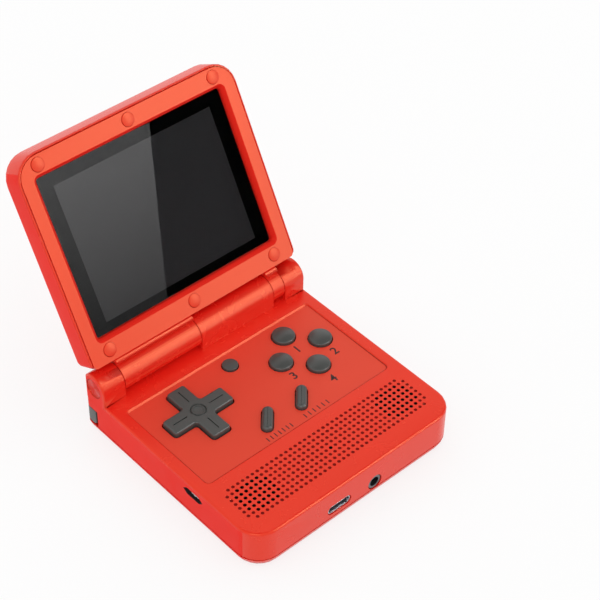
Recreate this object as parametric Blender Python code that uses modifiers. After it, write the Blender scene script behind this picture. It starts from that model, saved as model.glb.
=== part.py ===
"""Clamshell handheld game console.

A slab base carries the controls, and a lid with the screen swings on a hinge along its back edge.
X runs to the right, Y to the back and Z up. The origin lies under the middle of the base, on the
surface that it stands on. All sizes are in metres.
"""
import math

import bmesh
import bpy
from mathutils import Matrix, Vector

gap = 0.0003
overrun = 0.002
weld = 0.000001
hole_sides = 6
rivet_sides = 8
post_sides = 10
bore_sides = 16
round_sides = 20
barrel_sides = 32

# Base housing: a top shell with the side walls, over a shallow bottom tray.
base_width = 0.0838
base_depth = 0.0823
base_height = 0.0148
front_corner = 0.0085
back_corner = 0.0026
deck_edge = 0.0008
floor_edge = 0.0024
wall = 0.0016
deck_thickness = 0.0018
floor_thickness = 0.0015
split_height = 0.0028

# Sunk control panel.
panel_side = 0.0043
panel_back_share = 0.3001
panel_front_share = 0.1762
panel_sink = 0.0005
panel_flare = 0.0004
panel_front_corner = 0.0016
panel_back_corner = 0.0008

# Hinge: two lobes and a middle block on the base, two knuckles on the lid.
hinge_rise = 0.0048
barrel_radius = 0.0052
lobe_setback = 0.0002
lobe_width = 0.0085
lobe_rim = 0.0007
lobe_back_corner = 0.0024
block_left = -0.0022
right_knuckle_width = 0.0052
trough_gap = 0.0004
cartridge_radius = 0.0023
cartridge_reach = 0.0150
pin_radius = 0.0018
pin_reach = 0.0035
cap_radius = 0.0033
cap_thickness = 0.0012
cap_sink = 0.0003
cap_crown_share = 0.85

# Lid: a rear cover with a thin lip, and a bezel plate let into it.
lid_open_degrees = 118.6
lid_closed_gap = 0.0003
lid_thickness = 0.0097
lid_bottom = 0.0066
lid_length = 0.0700
lid_top_corner = 0.0083
lid_bottom_corner = 0.0022
lid_back_round = 0.0020
lid_wall = 0.0013
lid_lip = 0.0006
lid_lip_round = 0.0004
bezel_thickness = 0.0015
bezel_bottom_corner = 0.0015
strip_drop = 0.0020
strip_sink = 0.0011
strip_thickness = 0.0026
neck_front = 0.0022
neck_root_share = 0.6

# Screen: a black-edged lens in a flared window, with the display module behind it.
lens_side = 0.0061
lens_top_side = 0.0079
lens_low_side = 0.0078
lens_corner = 0.0010
lens_sink = 0.0015
lens_thickness = 0.0010
ledge_thickness = 0.0010
frame_border = 0.0010
window_flare = 0.00115
display_side = 0.00532
display_top_side = 0.0046
display_low_side = 0.0034
display_margin = 0.0005
module_border = 0.0021
module_thickness = 0.0028

# Screws: six in the lid under round covers, four in the base.
cover_radius = 0.0021
cover_thickness = 0.0010
cover_side = 0.0081
cover_top = 0.0039
cover_low = 0.0037
screw_head_radius = 0.0014
screw_head_height = 0.0007
screw_shank_radius = 0.0008
screw_crown_share = 0.8
lid_screw_length = 0.0045
lid_post_radius = 0.0022
bezel_post_radius = 0.0021
base_post_radius = 0.0024
base_screw_length = 0.0060
base_screw_inset = 0.0053
base_screw_front = 0.0053
base_screw_back = 0.0137
screw_floor = 0.0009

# Control cross.
pad_x_share = 0.25
pad_y_share = 0.12272
pad_reach = 0.0117
pad_arm_width = 0.0068
pad_edge = 0.0004
pad_outer_corner = 0.0009
pad_inner_corner = 0.0011
pad_rise = 0.0012
pad_clearance = 0.0005
pad_flange = 0.0010
pad_flange_thickness = 0.0010
pad_flange_drop = 0.0011
pad_dish_radius = 0.0022
pad_dish_depth = 0.0004
pad_ring_width = 0.0003
pad_mark_length = 0.0052
pad_mark_width = 0.0004
pad_mark_depth = 0.0003

# Round and slanted buttons.
action_x_share = 0.25835
action_y_share = 0.11908
action_spacing = 0.00848
action_radius = 0.00390
action_rise = 0.0013
action_crown = 0.0008
menu_y_share = 0.23755
menu_radius = 0.0026
menu_rise = 0.0005
pill_middle_share = 0.0047
pill_x_share = 0.0847
pill_y_share = 0.0751
pill_length = 0.0100
pill_width = 0.0036
pill_rise = 0.0012
pill_crown = 0.0007
pill_turn_degrees = 47.8
button_clearance = 0.0003
button_flange = 0.0009
button_flange_thickness = 0.0009
plunger_radius = 0.0020
small_plunger_radius = 0.0013
action_travel = 0.0010
menu_travel = 0.0006
pill_travel = 0.0008
membrane_thickness = 0.0005
membrane_wall = 0.0012
membrane_reach_share = 1.3

# Speaker grille: a square lattice whose two patches go right through, and one microphone hole.
grille_columns = 39
grille_rows = 8
grille_side = 0.00542
grille_front = 0.00761
grille_hole_radius = 0.00058
patch_first_column = 1
patch_columns = 7
patch_first_row = 1
patch_rows = 6
microphone_row = 4
speaker_radius = 0.0074
speaker_rim = 0.0008
speaker_basket_radius = 0.0060
speaker_taper_share = 0.7

# Ports, wheel, switch and card slot.
port_drop = 0.0019
usb_x = -0.0084
usb_width = 0.0090
usb_height = 0.0031
usb_wall = 0.0003
usb_depth = 0.0075
usb_round_share = 0.98
usb_tongue_width = 0.0066
usb_tongue_height = 0.0007
jack_x = 0.0064
jack_drop = 0.0025
jack_ring_radius = 0.0025
jack_bore_radius = 0.00175
jack_body_width = 0.0062
jack_body_height = 0.0042
jack_body_length = 0.0110
jack_bore_share = 0.85
wheel_radius = 0.0066
wheel_thickness = 0.0015
wheel_drop = 0.0037
wheel_y_share = 0.15067
wheel_slot_length = 0.0090
wheel_slot_height = 0.0027
wheel_slot_flat_share = 0.62
wheel_reach_share = 0.75
wheel_teeth = 28
wheel_tooth_depth = 0.0002
wheel_shaft_radius = 0.0010
wheel_body_share = 0.7
switch_y_share = 0.17011
switch_travel = 0.0030
switch_knob_length = 0.0040
switch_knob_height = 0.0020
switch_proud = 0.0007
switch_flange = 0.0010
switch_case_width = 0.0040
switch_case_length = 0.0090
switch_case_height = 0.0030
card_y_share = 0.12151
card_slot_length = 0.0120
card_slot_height = 0.0014
card_case_length = 0.0140
card_case_width = 0.0150
card_case_height = 0.0017
card_mouth_share = 0.9

# Shoulder buttons on the back corners, and the small boards that carry their switches.
shoulder_front = 0.00555
shoulder_low = 0.0033
shoulder_height = 0.0060
shoulder_width = 0.0150
shoulder_thickness = 0.0022
shoulder_inner_width = 0.0115
shoulder_bevel = 0.0009
shoulder_travel = 0.0005
trigger_board_thickness = 0.0008
trigger_switch_size = 0.0032
trigger_switch_depth = 0.0010
trigger_place_share = 0.6

# Main board and battery.
board_drop = 0.0067
board_thickness = 0.0010
board_back = 0.0082
board_corner = 0.0070
door_side = 0.0199
door_depth = 0.0380
door_thickness = 0.0012
door_corner = 0.0020
door_ledge = 0.0018
door_frame = 0.0024
grip_width_share = 0.25
grip_front_share = 0.8
grip_back_share = 0.7
grip_depth_share = 0.33
battery_clearance = 0.0007
battery_headroom = 0.0013
battery_corner = 0.0015

half_width = base_width / 2
half_depth = base_depth / 2
hinge_y = half_depth - barrel_radius - lobe_setback
hinge_z = base_height + hinge_rise
deck_under = base_height - deck_thickness
lobe_inner = half_width - lobe_width
lid_front = hinge_rise - lid_closed_gap
lid_back = lid_front - lid_thickness
lid_top = lid_bottom + lid_length
block_right = lobe_inner - right_knuckle_width
panel_width = base_width - 2 * panel_side
panel_back = base_depth * panel_back_share
panel_front = -base_depth * panel_front_share
pad_x = -base_width * pad_x_share
pad_y = base_depth * pad_y_share
action_x = base_width * action_x_share
action_y = base_depth * action_y_share
menu_y = base_depth * menu_y_share
pill_middle = base_width * pill_middle_share
select_x = pill_middle - base_width * pill_x_share
start_x = pill_middle + base_width * pill_x_share
pill_y = -base_depth * pill_y_share
grille_pitch = (base_width - 2 * grille_side) / (grille_columns - 1)
lens_width = base_width - 2 * lens_side
lens_height = lid_length - lens_top_side - lens_low_side
lens_bottom = lid_bottom + lens_low_side
display_width = lens_width - 2 * display_side
display_height = lens_height - display_top_side - display_low_side
display_bottom = lens_bottom + display_low_side
door_width = base_width - 2 * door_side
battery_width = door_width - 2 * (door_ledge + battery_clearance)
battery_depth = door_depth - 2 * (door_ledge + battery_clearance)
board_low = base_height - board_drop
board_top = board_low + board_thickness
battery_height = board_low - door_thickness - gap - battery_headroom
port_height = board_low - port_drop
jack_height = board_low - jack_drop
wheel_height = base_height - wheel_drop
wheel_y = -base_depth * wheel_y_share
switch_y = -base_depth * switch_y_share
card_y = base_depth * card_y_share
knuckle_spans = ((gap - lobe_inner, block_left - gap), (block_right + gap, lobe_inner - gap))
base_screw_places = [(side * (half_width - base_screw_inset), y) for side in (-1, 1)
                     for y in (base_screw_front - half_depth + gap, half_depth - base_screw_back)]
lid_screw_places = [(share * (half_width - cover_side), v) for share in (-1, 0, 1)
                    for v in (lid_top - cover_top, lid_bottom + cover_low)]
action_offsets = {"button_top": (0, action_spacing), "button_right": (action_spacing, 0),
                  "button_bottom": (0, -action_spacing), "button_left": (-action_spacing, 0)}

looks = {
    "shell": ((0.80, 0.055, 0.030), 0.42, 0.0),
    "bezel": ((0.86, 0.085, 0.045), 0.45, 0.0),
    "control": ((0.055, 0.056, 0.058), 0.55, 0.0),
    "rubber": ((0.30, 0.31, 0.32), 0.75, 0.0),
    "lens": ((0.02, 0.02, 0.022), 0.05, 0.0),
    "display": ((0.03, 0.03, 0.035), 0.30, 0.0),
    "board": ((0.02, 0.16, 0.07), 0.50, 0.0),
    "steel": ((0.62, 0.62, 0.64), 0.30, 1.0),
    "dark_metal": ((0.20, 0.20, 0.21), 0.35, 1.0),
    "black_plastic": ((0.03, 0.03, 0.03), 0.50, 0.0),
    "battery": ((0.16, 0.17, 0.20), 0.55, 0.0),
}


def clear_scene():
    for item in list(bpy.data.objects):
        bpy.data.objects.remove(item)


def new_group(name):
    group = bpy.data.collections.new(name)
    bpy.context.scene.collection.children.link(group)
    return group


clear_scene()
parts = new_group("clamshell_handheld_console")
cutters = new_group("cutters")


def new_piece(name, form, group):
    mesh = bpy.data.meshes.new(name)
    bmesh.ops.recalc_face_normals(form, faces=form.faces)
    form.to_mesh(mesh)
    form.free()
    piece = bpy.data.objects.new(name, mesh)
    group.objects.link(piece)
    if group == cutters:
        piece.hide_render = True
        piece.display_type = "WIRE"
    return piece


def finish(piece, look):
    colour, roughness, metallic = looks[look]
    material = bpy.data.materials.new(piece.name)
    material.use_nodes = True
    shader = material.node_tree.nodes["Principled BSDF"]
    shader.inputs["Base Color"].default_value = (*colour, 1)
    shader.inputs["Roughness"].default_value = roughness
    shader.inputs["Metallic"].default_value = metallic
    piece.data.materials.append(material)
    piece.data.shade_smooth()
    piece.data.set_sharp_from_angle(angle=math.radians(35))
    return piece


def boolean(piece, other, operation):
    modifier = piece.modifiers.new(other.name, "BOOLEAN")
    modifier.operation = operation
    modifier.solver = "EXACT"
    modifier.object = other


def cut(piece, *others):
    for other in others:
        boolean(piece, other, "DIFFERENCE")


def join(piece, *others):
    for other in others:
        boolean(piece, other, "UNION")


def place(piece, location, parent=None):
    """Puts a piece, with the shapes that cut it or join it, at its place."""
    for item in [piece] + [modifier.object for modifier in piece.modifiers]:
        item.location = location
        item.parent = parent


def rounded(corners, steps=6):
    """Outline through corners given as (x, y, radius), each rounded with an arc."""
    points = []
    for index, (x, y, radius) in enumerate(corners):
        here = Vector((x, y))
        before = Vector(corners[index - 1][:2])
        after = Vector(corners[(index + 1) % len(corners)][:2])
        if radius <= 0:
            points.append((x, y))
            continue
        back = (before - here).normalized()
        ahead = (after - here).normalized()
        half = back.angle(ahead) / 2
        centre = here + (back + ahead).normalized() * (radius / math.sin(half))
        start = here + back * (radius / math.tan(half)) - centre
        end = here + ahead * (radius / math.tan(half)) - centre
        first = math.atan2(start.y, start.x)
        turn = math.atan2(end.y, end.x) - first
        turn = (turn + math.pi) % (2 * math.pi) - math.pi
        for step in range(steps + 1):
            angle = first + turn * step / steps
            points.append((centre.x + radius * math.cos(angle), centre.y + radius * math.sin(angle)))
    return points


def rectangle(left, right, low, high, radius=0.0, steps=6):
    corners = ((left, low), (right, low), (right, high), (left, high))
    return rounded([(x, y, radius) for x, y in corners], steps)


def circle(x, y, radius, sides=round_sides):
    turns = [2 * math.pi * side / sides for side in range(sides)]
    return [(x + radius * math.cos(turn), y + radius * math.sin(turn)) for turn in turns]


def base_outline(inset, steps=6):
    side = half_width - inset
    end = half_depth - inset
    front = front_corner - inset
    back = max(back_corner - inset, inset / 2)
    return rounded([(-side, -end, front), (side, -end, front), (side, end, back), (-side, end, back)], steps)


def lid_outline(inset, steps=6):
    side = half_width - inset
    top = lid_top_corner - inset
    low = max(lid_bottom_corner - inset, inset / 2)
    return rounded([(-side, lid_bottom + inset, low), (side, lid_bottom + inset, low),
                    (side, lid_top - inset, top), (-side, lid_top - inset, top)], steps)


def turned_to(along):
    """Turns a shape drawn in X and Y so that its depth runs along another axis."""
    if along == "X":
        return Matrix(((0, 0, 1, 0), (1, 0, 0, 0), (0, 1, 0, 0), (0, 0, 0, 1)))
    if along == "Y":
        return Matrix(((1, 0, 0, 0), (0, 0, 1, 0), (0, 1, 0, 0), (0, 0, 0, 1)))
    return Matrix.Identity(4)


def slab(name, outlines, low, high, along="Z", group=None):
    """Solid between two depths, from an outer outline and the holes in it."""
    curve = bpy.data.curves.new(name, "CURVE")
    curve.dimensions = "2D"
    curve.fill_mode = "BOTH"
    curve.extrude = (high - low) / 2
    for outline in outlines:
        spline = curve.splines.new("POLY")
        spline.points.add(len(outline) - 1)
        for point, (x, y) in zip(spline.points, outline):
            point.co = (x, y, 0, 1)
        spline.use_cyclic_u = True
    drawn = bpy.data.objects.new(name + "_outline", curve)
    cutters.objects.link(drawn)
    bpy.context.view_layer.update()
    filled = bpy.data.meshes.new_from_object(drawn.evaluated_get(bpy.context.evaluated_depsgraph_get()))
    bpy.data.objects.remove(drawn)
    bpy.data.curves.remove(curve)
    form = bmesh.new()
    form.from_mesh(filled)
    bpy.data.meshes.remove(filled)
    bmesh.ops.remove_doubles(form, verts=form.verts, dist=weld)
    if len(outlines) == 1:
        for side in (-1, 1):
            cap = [face for face in form.faces if all(point.co.z * side > 0 for point in face.verts)]
            bmesh.ops.dissolve_faces(form, faces=cap)
    bmesh.ops.translate(form, verts=form.verts, vec=(0, 0, (low + high) / 2))
    bmesh.ops.transform(form, matrix=turned_to(along), verts=form.verts)
    return new_piece(name, form, group or parts)


def loft(name, sections, group=None):
    """Solid through flat sections, each an outline with its height and all with as many points."""
    form = bmesh.new()
    rings = [[form.verts.new((x, y, height)) for x, y in outline] for outline, height in sections]
    for lower, upper in zip(rings, rings[1:]):
        for index in range(len(lower)):
            form.faces.new((lower[index - 1], lower[index], upper[index], upper[index - 1]))
    form.faces.new(rings[0])
    form.faces.new(rings[-1])
    return new_piece(name, form, group or parts)


def box(name, low, high, group=None):
    form = bmesh.new()
    bmesh.ops.create_cube(form, size=1)
    size = [high[axis] - low[axis] for axis in range(3)]
    middle = [(high[axis] + low[axis]) / 2 for axis in range(3)]
    bmesh.ops.scale(form, verts=form.verts, vec=size)
    bmesh.ops.translate(form, verts=form.verts, vec=middle)
    return new_piece(name, form, group or parts)


def add_rod(form, centre, low, high, radius, sides, along="Z", top_radius=None):
    """Adds a round rod to a form; the centre is given across its axis."""
    made = bmesh.ops.create_cone(form, cap_ends=True, segments=sides, radius1=radius,
                                 radius2=radius if top_radius is None else top_radius, depth=high - low)
    bmesh.ops.translate(form, verts=made["verts"], vec=(*centre, (low + high) / 2))
    bmesh.ops.transform(form, matrix=turned_to(along), verts=made["verts"])


def rod(name, centre, low, high, radius, sides=round_sides, along="Z", group=None, top_radius=None):
    form = bmesh.new()
    add_rod(form, centre, low, high, radius, sides, along, top_radius)
    return new_piece(name, form, group or parts)


def turned(name, profile, sides=round_sides, group=None):
    """Turns a profile of (radius, height) points, from the top down, about the Z axis."""
    mesh = bpy.data.meshes.new(name)
    points = [(radius, 0, height) for radius, height in profile]
    mesh.from_pydata(points, [(index, index + 1) for index in range(len(points) - 1)], [])
    piece = bpy.data.objects.new(name, mesh)
    (group or parts).objects.link(piece)
    screw = piece.modifiers.new("turn", "SCREW")
    screw.steps = sides
    screw.render_steps = sides
    screw.use_merge_vertices = True
    screw.merge_threshold = weld
    bpy.context.view_layer.update()
    made = bpy.data.meshes.new_from_object(piece.evaluated_get(bpy.context.evaluated_depsgraph_get()))
    bpy.data.objects.remove(piece)
    bpy.data.meshes.remove(mesh)
    form = bmesh.new()
    form.from_mesh(made)
    bpy.data.meshes.remove(made)
    bmesh.ops.remove_doubles(form, verts=form.verts, dist=weld)
    bmesh.ops.dissolve_degenerate(form, dist=weld, edges=form.edges)
    return new_piece(name, form, group or parts)


def soften(piece, width, segments, picked):
    """Rounds the edges whose two ends are picked, or chamfers them with one segment."""
    form = bmesh.new()
    form.from_mesh(piece.data)
    edges = [edge for edge in form.edges
             if all(picked(point.co) for point in edge.verts) and edge.calc_face_angle(0) > math.radians(30)]
    bmesh.ops.bevel(form, geom=edges, offset=width, offset_type="OFFSET", segments=segments, profile=0.5,
                    affect="EDGES", clamp_overlap=True)
    form.to_mesh(piece.data)
    form.free()


def level(height, axis=2):
    return lambda point: abs(point[axis] - height) < weld


def grille_place(column, row):
    x = (column - (grille_columns - 1) / 2) * grille_pitch
    return x, grille_front - half_depth + (grille_rows - 1 - row) * grille_pitch


def patch_cells():
    """Lattice cells that go right through: two patches without their corners, and the microphone."""
    cells = []
    last_column = patch_first_column + patch_columns - 1
    last_row = patch_first_row + patch_rows - 1
    for column in range(patch_first_column, last_column + 1):
        for row in range(patch_first_row, last_row + 1):
            if column in (patch_first_column, last_column) and row in (patch_first_row, last_row):
                continue
            cells.append((column, row))
            cells.append((grille_columns - 1 - column, row))
    cells.append((grille_columns // 2, microphone_row))
    return cells


def patch_centre(side):
    column = patch_first_column + (patch_columns - 1) / 2
    x, y = grille_place(column, patch_first_row + (patch_rows - 1) / 2)
    return side * abs(x), y


def cross_outline(reach, arm_width, outer, inner, steps=3):
    half = arm_width / 2
    corners = []
    for turn in range(4):
        angle = math.pi / 2 * turn
        for x, y, radius in ((half, half, inner), (reach, half, outer), (reach, -half, outer)):
            corners.append((x * math.cos(angle) + y * math.sin(angle),
                            y * math.cos(angle) - x * math.sin(angle), radius))
    return rounded(corners, steps)


def pill_outline(length, width, steps=6):
    half = width / 2
    straight = length / 2 - half
    points = []
    for side in (1, -1):
        for step in range(steps + 1):
            angle = math.pi * (step / steps - 0.5) + (0 if side > 0 else math.pi)
            points.append((side * straight + half * math.cos(angle), half * math.sin(angle)))
    turn = math.radians(pill_turn_degrees)
    across, along = math.cos(turn), math.sin(turn)
    return [(x * across - y * along, x * along + y * across) for x, y in points]


def moved(outline, x, y):
    return [(a + x, b + y) for a, b in outline]


def arch_outline(radius, foot, steps=18):
    """Side view of a lobe in Y and Z: a round top on straight legs."""
    points = [(hinge_y - radius, foot)]
    for step in range(steps + 1):
        angle = math.pi - math.pi * step / steps
        points.append((hinge_y + radius * math.cos(angle), hinge_z + radius * math.sin(angle)))
    points.append((hinge_y + radius, foot))
    return points


def lobe_corner_outline(side, steps=4):
    """What the base's rounded back corner takes off a lobe, seen from above."""
    radius = lobe_back_corner
    x, y = half_width - radius, half_depth - radius
    points = [(side * (half_width + overrun), y), (side * (half_width + overrun), half_depth + overrun),
              (side * x, half_depth + overrun)]
    for step in range(steps + 1):
        angle = math.pi / 2 * (1 - step / steps)
        points.append((side * (x + radius * math.cos(angle)), y + radius * math.sin(angle)))
    return points


def build_top_shell():
    shell = slab("base_top_shell", [base_outline(0)], split_height + gap, base_height)
    soften(shell, deck_edge, 2, level(base_height))
    cut(shell, slab("base_hollow", [base_outline(wall, 3)], split_height - overrun, deck_under, group=cutters))
    foot = base_height - 2 * deck_edge
    for side, name in ((-1, "left_lobe"), (1, "right_lobe")):
        outer = side * half_width
        inner = side * lobe_inner
        ends = sorted((outer, inner))
        lobe = slab(name, [arch_outline(barrel_radius, foot)], *ends, "X", cutters)
        soften(lobe, lobe_rim, 2, level(outer, 0))
        cut(lobe, slab(name + "_corner", [lobe_corner_outline(side)], foot - overrun,
                       hinge_z + barrel_radius + overrun, group=cutters))
        join(shell, lobe)
    block = slab("middle_block", [arch_outline(barrel_radius, foot)], block_left, block_right, "X", cutters)
    join(shell, block)
    for index, (low, high) in enumerate(knuckle_spans):
        cut(shell, slab("trough_" + str(index + 1), [trough_outline()], low - gap, high + gap, "X", cutters))
    cut_posts(shell)
    cut_hinge_bores(shell)
    cut_deck(shell)
    cut_walls(shell)
    return finish(shell, "shell")


def trough_outline():
    """Round channel for a knuckle, open to the back at the level of its bottom."""
    radius = barrel_radius + trough_gap
    steps = 12
    points = [(half_depth + overrun, hinge_z - radius)]
    for step in range(steps + 1):
        angle = -math.pi / 2 - math.pi / 2 * step / steps
        points.append((hinge_y + radius * math.cos(angle), hinge_z + radius * math.sin(angle)))
    points.append((hinge_y - radius, hinge_z + radius + overrun))
    points.append((half_depth + overrun, hinge_z + radius + overrun))
    return points


def cut_posts(shell):
    """Four screw posts hang from the deck, each with a blind hole."""
    holes = bmesh.new()
    for index, (x, y) in enumerate(base_screw_places):
        low = split_height + gap
        join(shell, rod("post_" + str(index + 1), (x, y), low, deck_under + deck_thickness / 4,
                        base_post_radius, post_sides, group=cutters))
        add_rod(holes, (x, y), low - overrun, screw_floor + screw_head_height + base_screw_length + gap,
                screw_shank_radius + gap, rivet_sides)
    cut(shell, new_piece("post_holes", holes, cutters))


def cut_hinge_bores(shell):
    bores = bmesh.new()
    centre = (hinge_y, hinge_z)
    recess = cap_sink + cap_thickness + gap
    add_rod(bores, centre, -half_width - overrun, recess - half_width, cap_radius + gap, round_sides, "X")
    add_rod(bores, centre, half_width - recess, half_width + overrun, cap_radius + gap, round_sides, "X")
    cut(shell, new_piece("cap_recesses", bores, cutters))
    bores = bmesh.new()
    add_rod(bores, centre, -half_width - overrun, gap - lobe_inner, cartridge_radius + gap, bore_sides, "X")
    add_rod(bores, centre, block_right - pin_reach - gap, half_width + overrun, pin_radius + gap,
            bore_sides, "X")
    cut(shell, new_piece("hinge_bores", bores, cutters))


def cut_deck(shell):
    cut(shell, loft("panel_recess", [(panel_outline(0), base_height - panel_sink),
                                     (panel_outline(0), base_height - panel_flare),
                                     (panel_outline(panel_flare + overrun), base_height + overrun)], cutters))
    low = deck_under - overrun
    high = base_height + overrun
    cross = cross_outline(pad_reach + pad_clearance, pad_arm_width + 2 * pad_clearance,
                          pad_outer_corner + pad_clearance, pad_inner_corner - pad_clearance / 2)
    cut(shell, slab("pad_hole", [moved(cross, pad_x, pad_y)], low, high, group=cutters))
    holes = bmesh.new()
    for x, y in action_offsets.values():
        add_rod(holes, (action_x + x, action_y + y), low, high, action_radius + button_clearance, round_sides)
    add_rod(holes, (0, menu_y), low, high, menu_radius + button_clearance, round_sides)
    cut(shell, new_piece("button_holes", holes, cutters))
    for name, x in (("select_hole", select_x), ("start_hole", start_x)):
        outline = pill_outline(pill_length + 2 * button_clearance, pill_width + 2 * button_clearance)
        cut(shell, slab(name, [moved(outline, x, pill_y)], low, high, group=cutters))
    grille = bmesh.new()
    for column, row in patch_cells():
        add_rod(grille, grille_place(column, row), low, high, grille_hole_radius, hole_sides)
    cut(shell, new_piece("grille_holes", grille, cutters))


def panel_outline(margin):
    half = panel_width / 2 + margin
    front = panel_front - margin
    back = panel_back + margin
    round_front = panel_front_corner + margin
    round_back = panel_back_corner + margin
    return rounded([(-half, front, round_front), (half, front, round_front), (half, back, round_back),
                    (-half, back, round_back)])


def cut_walls(shell):
    front = -half_depth - overrun
    inner = wall + overrun - half_depth
    half = usb_width / 2 + gap
    tall = usb_height / 2 + gap
    outline = rectangle(usb_x - half, usb_x + half, port_height - tall, port_height + tall,
                        tall * usb_round_share)
    cut(shell, slab("usb_opening", [outline], front, inner, "Y", cutters))
    cut(shell, rod("jack_opening", (jack_x, jack_height), front, inner, jack_ring_radius + gap,
                   round_sides, "Y", cutters))
    half = wheel_slot_length / 2
    tall = wheel_slot_height / 2
    flat = half * wheel_slot_flat_share
    outline = rounded([(wheel_y - half, wheel_height, 0), (wheel_y - flat, wheel_height - tall, tall),
                       (wheel_y + flat, wheel_height - tall, tall), (wheel_y + half, wheel_height, 0),
                       (wheel_y + flat, wheel_height + tall, tall),
                       (wheel_y - flat, wheel_height + tall, tall)], 3)
    cut(shell, slab("wheel_slot", [outline], -half_width - overrun, wall + overrun - half_width, "X", cutters))
    low = switch_y - switch_knob_length / 2 - gap
    high = switch_y + switch_travel + switch_knob_length / 2 + gap
    tall = switch_knob_height / 2 + gap
    outline = rectangle(low, high, wheel_height - tall, wheel_height + tall, tall / 2, 3)
    cut(shell, slab("switch_slot", [outline], half_width - wall - overrun, half_width + overrun, "X", cutters))
    half = card_slot_length / 2
    tall = card_slot_height / 2
    slot = rectangle(card_y - half, card_y + half, card_slot_z() - tall, card_slot_z() + tall, tall / 2, 3)
    cut(shell, slab("card_slot", [slot], half_width - wall - overrun, half_width + overrun, "X", cutters))
    reach = shoulder_width + shoulder_inner_width + 2 * gap
    start = half_depth - shoulder_front - shoulder_travel - gap
    for side, name in ((-1, "left_shoulder_slot"), (1, "right_shoulder_slot")):
        ends = sorted((side * (half_width + overrun), side * (half_width - reach)))
        cut(shell, box(name, (ends[0], start, split_height - overrun),
                       (ends[1], half_depth + overrun, shoulder_low + shoulder_height + gap), cutters))


def card_slot_z():
    return board_low - gap - card_case_height / 2


def build_bottom_shell():
    shell = slab("base_bottom_shell", [base_outline(0)], 0, split_height)
    soften(shell, floor_edge, 2, level(0))
    cut(shell, slab("tray_hollow", [base_outline(wall, 3)], floor_thickness, split_height + overrun,
                    group=cutters))
    half_x = door_width / 2 + gap + door_frame
    half_y = door_depth / 2 + gap + door_frame
    frame = slab("door_frame", [rectangle(-half_x, half_x, -half_y, half_y, door_corner)],
                 floor_thickness / 2, split_height - gap, group=cutters)
    join(shell, frame)
    half_x = door_width / 2 + gap
    half_y = door_depth / 2 + gap
    cut(shell, slab("door_recess", [rectangle(-half_x, half_x, -half_y, half_y, door_corner)], -overrun,
                    door_thickness + gap, group=cutters))
    half_x = door_width / 2 - door_ledge
    half_y = door_depth / 2 - door_ledge
    well = rectangle(-half_x, half_x, -half_y, half_y, door_corner)
    cut(shell, slab("battery_well", [well], -overrun, split_height + overrun, group=cutters))
    holes = bmesh.new()
    heads = bmesh.new()
    for index, (x, y) in enumerate(base_screw_places):
        join(shell, rod("tray_post_" + str(index + 1), (x, y), floor_thickness / 2, split_height,
                        base_post_radius, post_sides, group=cutters))
        add_rod(holes, (x, y), -overrun, split_height + overrun, screw_shank_radius + gap, rivet_sides)
        add_rod(heads, (x, y), -overrun, screw_floor + screw_head_height, screw_head_radius + gap, rivet_sides)
    cut(shell, new_piece("tray_holes", holes, cutters), new_piece("tray_head_holes", heads, cutters))
    return finish(shell, "shell")


def build_battery():
    half_x = door_width / 2
    half_y = door_depth / 2
    outline = rectangle(-half_x, half_x, -half_y, half_y, door_corner - gap)
    door = slab("battery_door", [outline], 0, door_thickness)
    grip_x = half_x * grip_width_share
    grip = rectangle(-grip_x, grip_x, -half_y * grip_front_share, -half_y * grip_back_share, door_corner / 3, 3)
    grip = slab("door_grip", [grip], -overrun, door_thickness * grip_depth_share, group=cutters)
    cut(door, grip)
    finish(door, "shell")
    half_x = battery_width / 2
    half_y = battery_depth / 2
    low = door_thickness + gap
    outline = rectangle(-half_x, half_x, -half_y, half_y, battery_corner)
    cell = slab("battery", [outline], low, low + battery_height)
    soften(cell, battery_corner / 2, 2, level(low + battery_height))
    finish(cell, "battery")


def build_board():
    side = half_width - wall - 3 * gap
    front = wall + 3 * gap - half_depth
    board = slab("main_board", [rounded([(-side, front, board_corner), (side, front, board_corner),
                                         (side, half_depth - board_back, gap),
                                         (-side, half_depth - board_back, gap)])], board_low, board_top)
    notches = bmesh.new()
    for x, y in base_screw_places:
        add_rod(notches, (x, y), board_low - overrun, board_top + overrun, base_post_radius + 2 * gap,
                post_sides)
    cut(board, new_piece("board_notches", notches, cutters))
    finish(board, "board")


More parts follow.
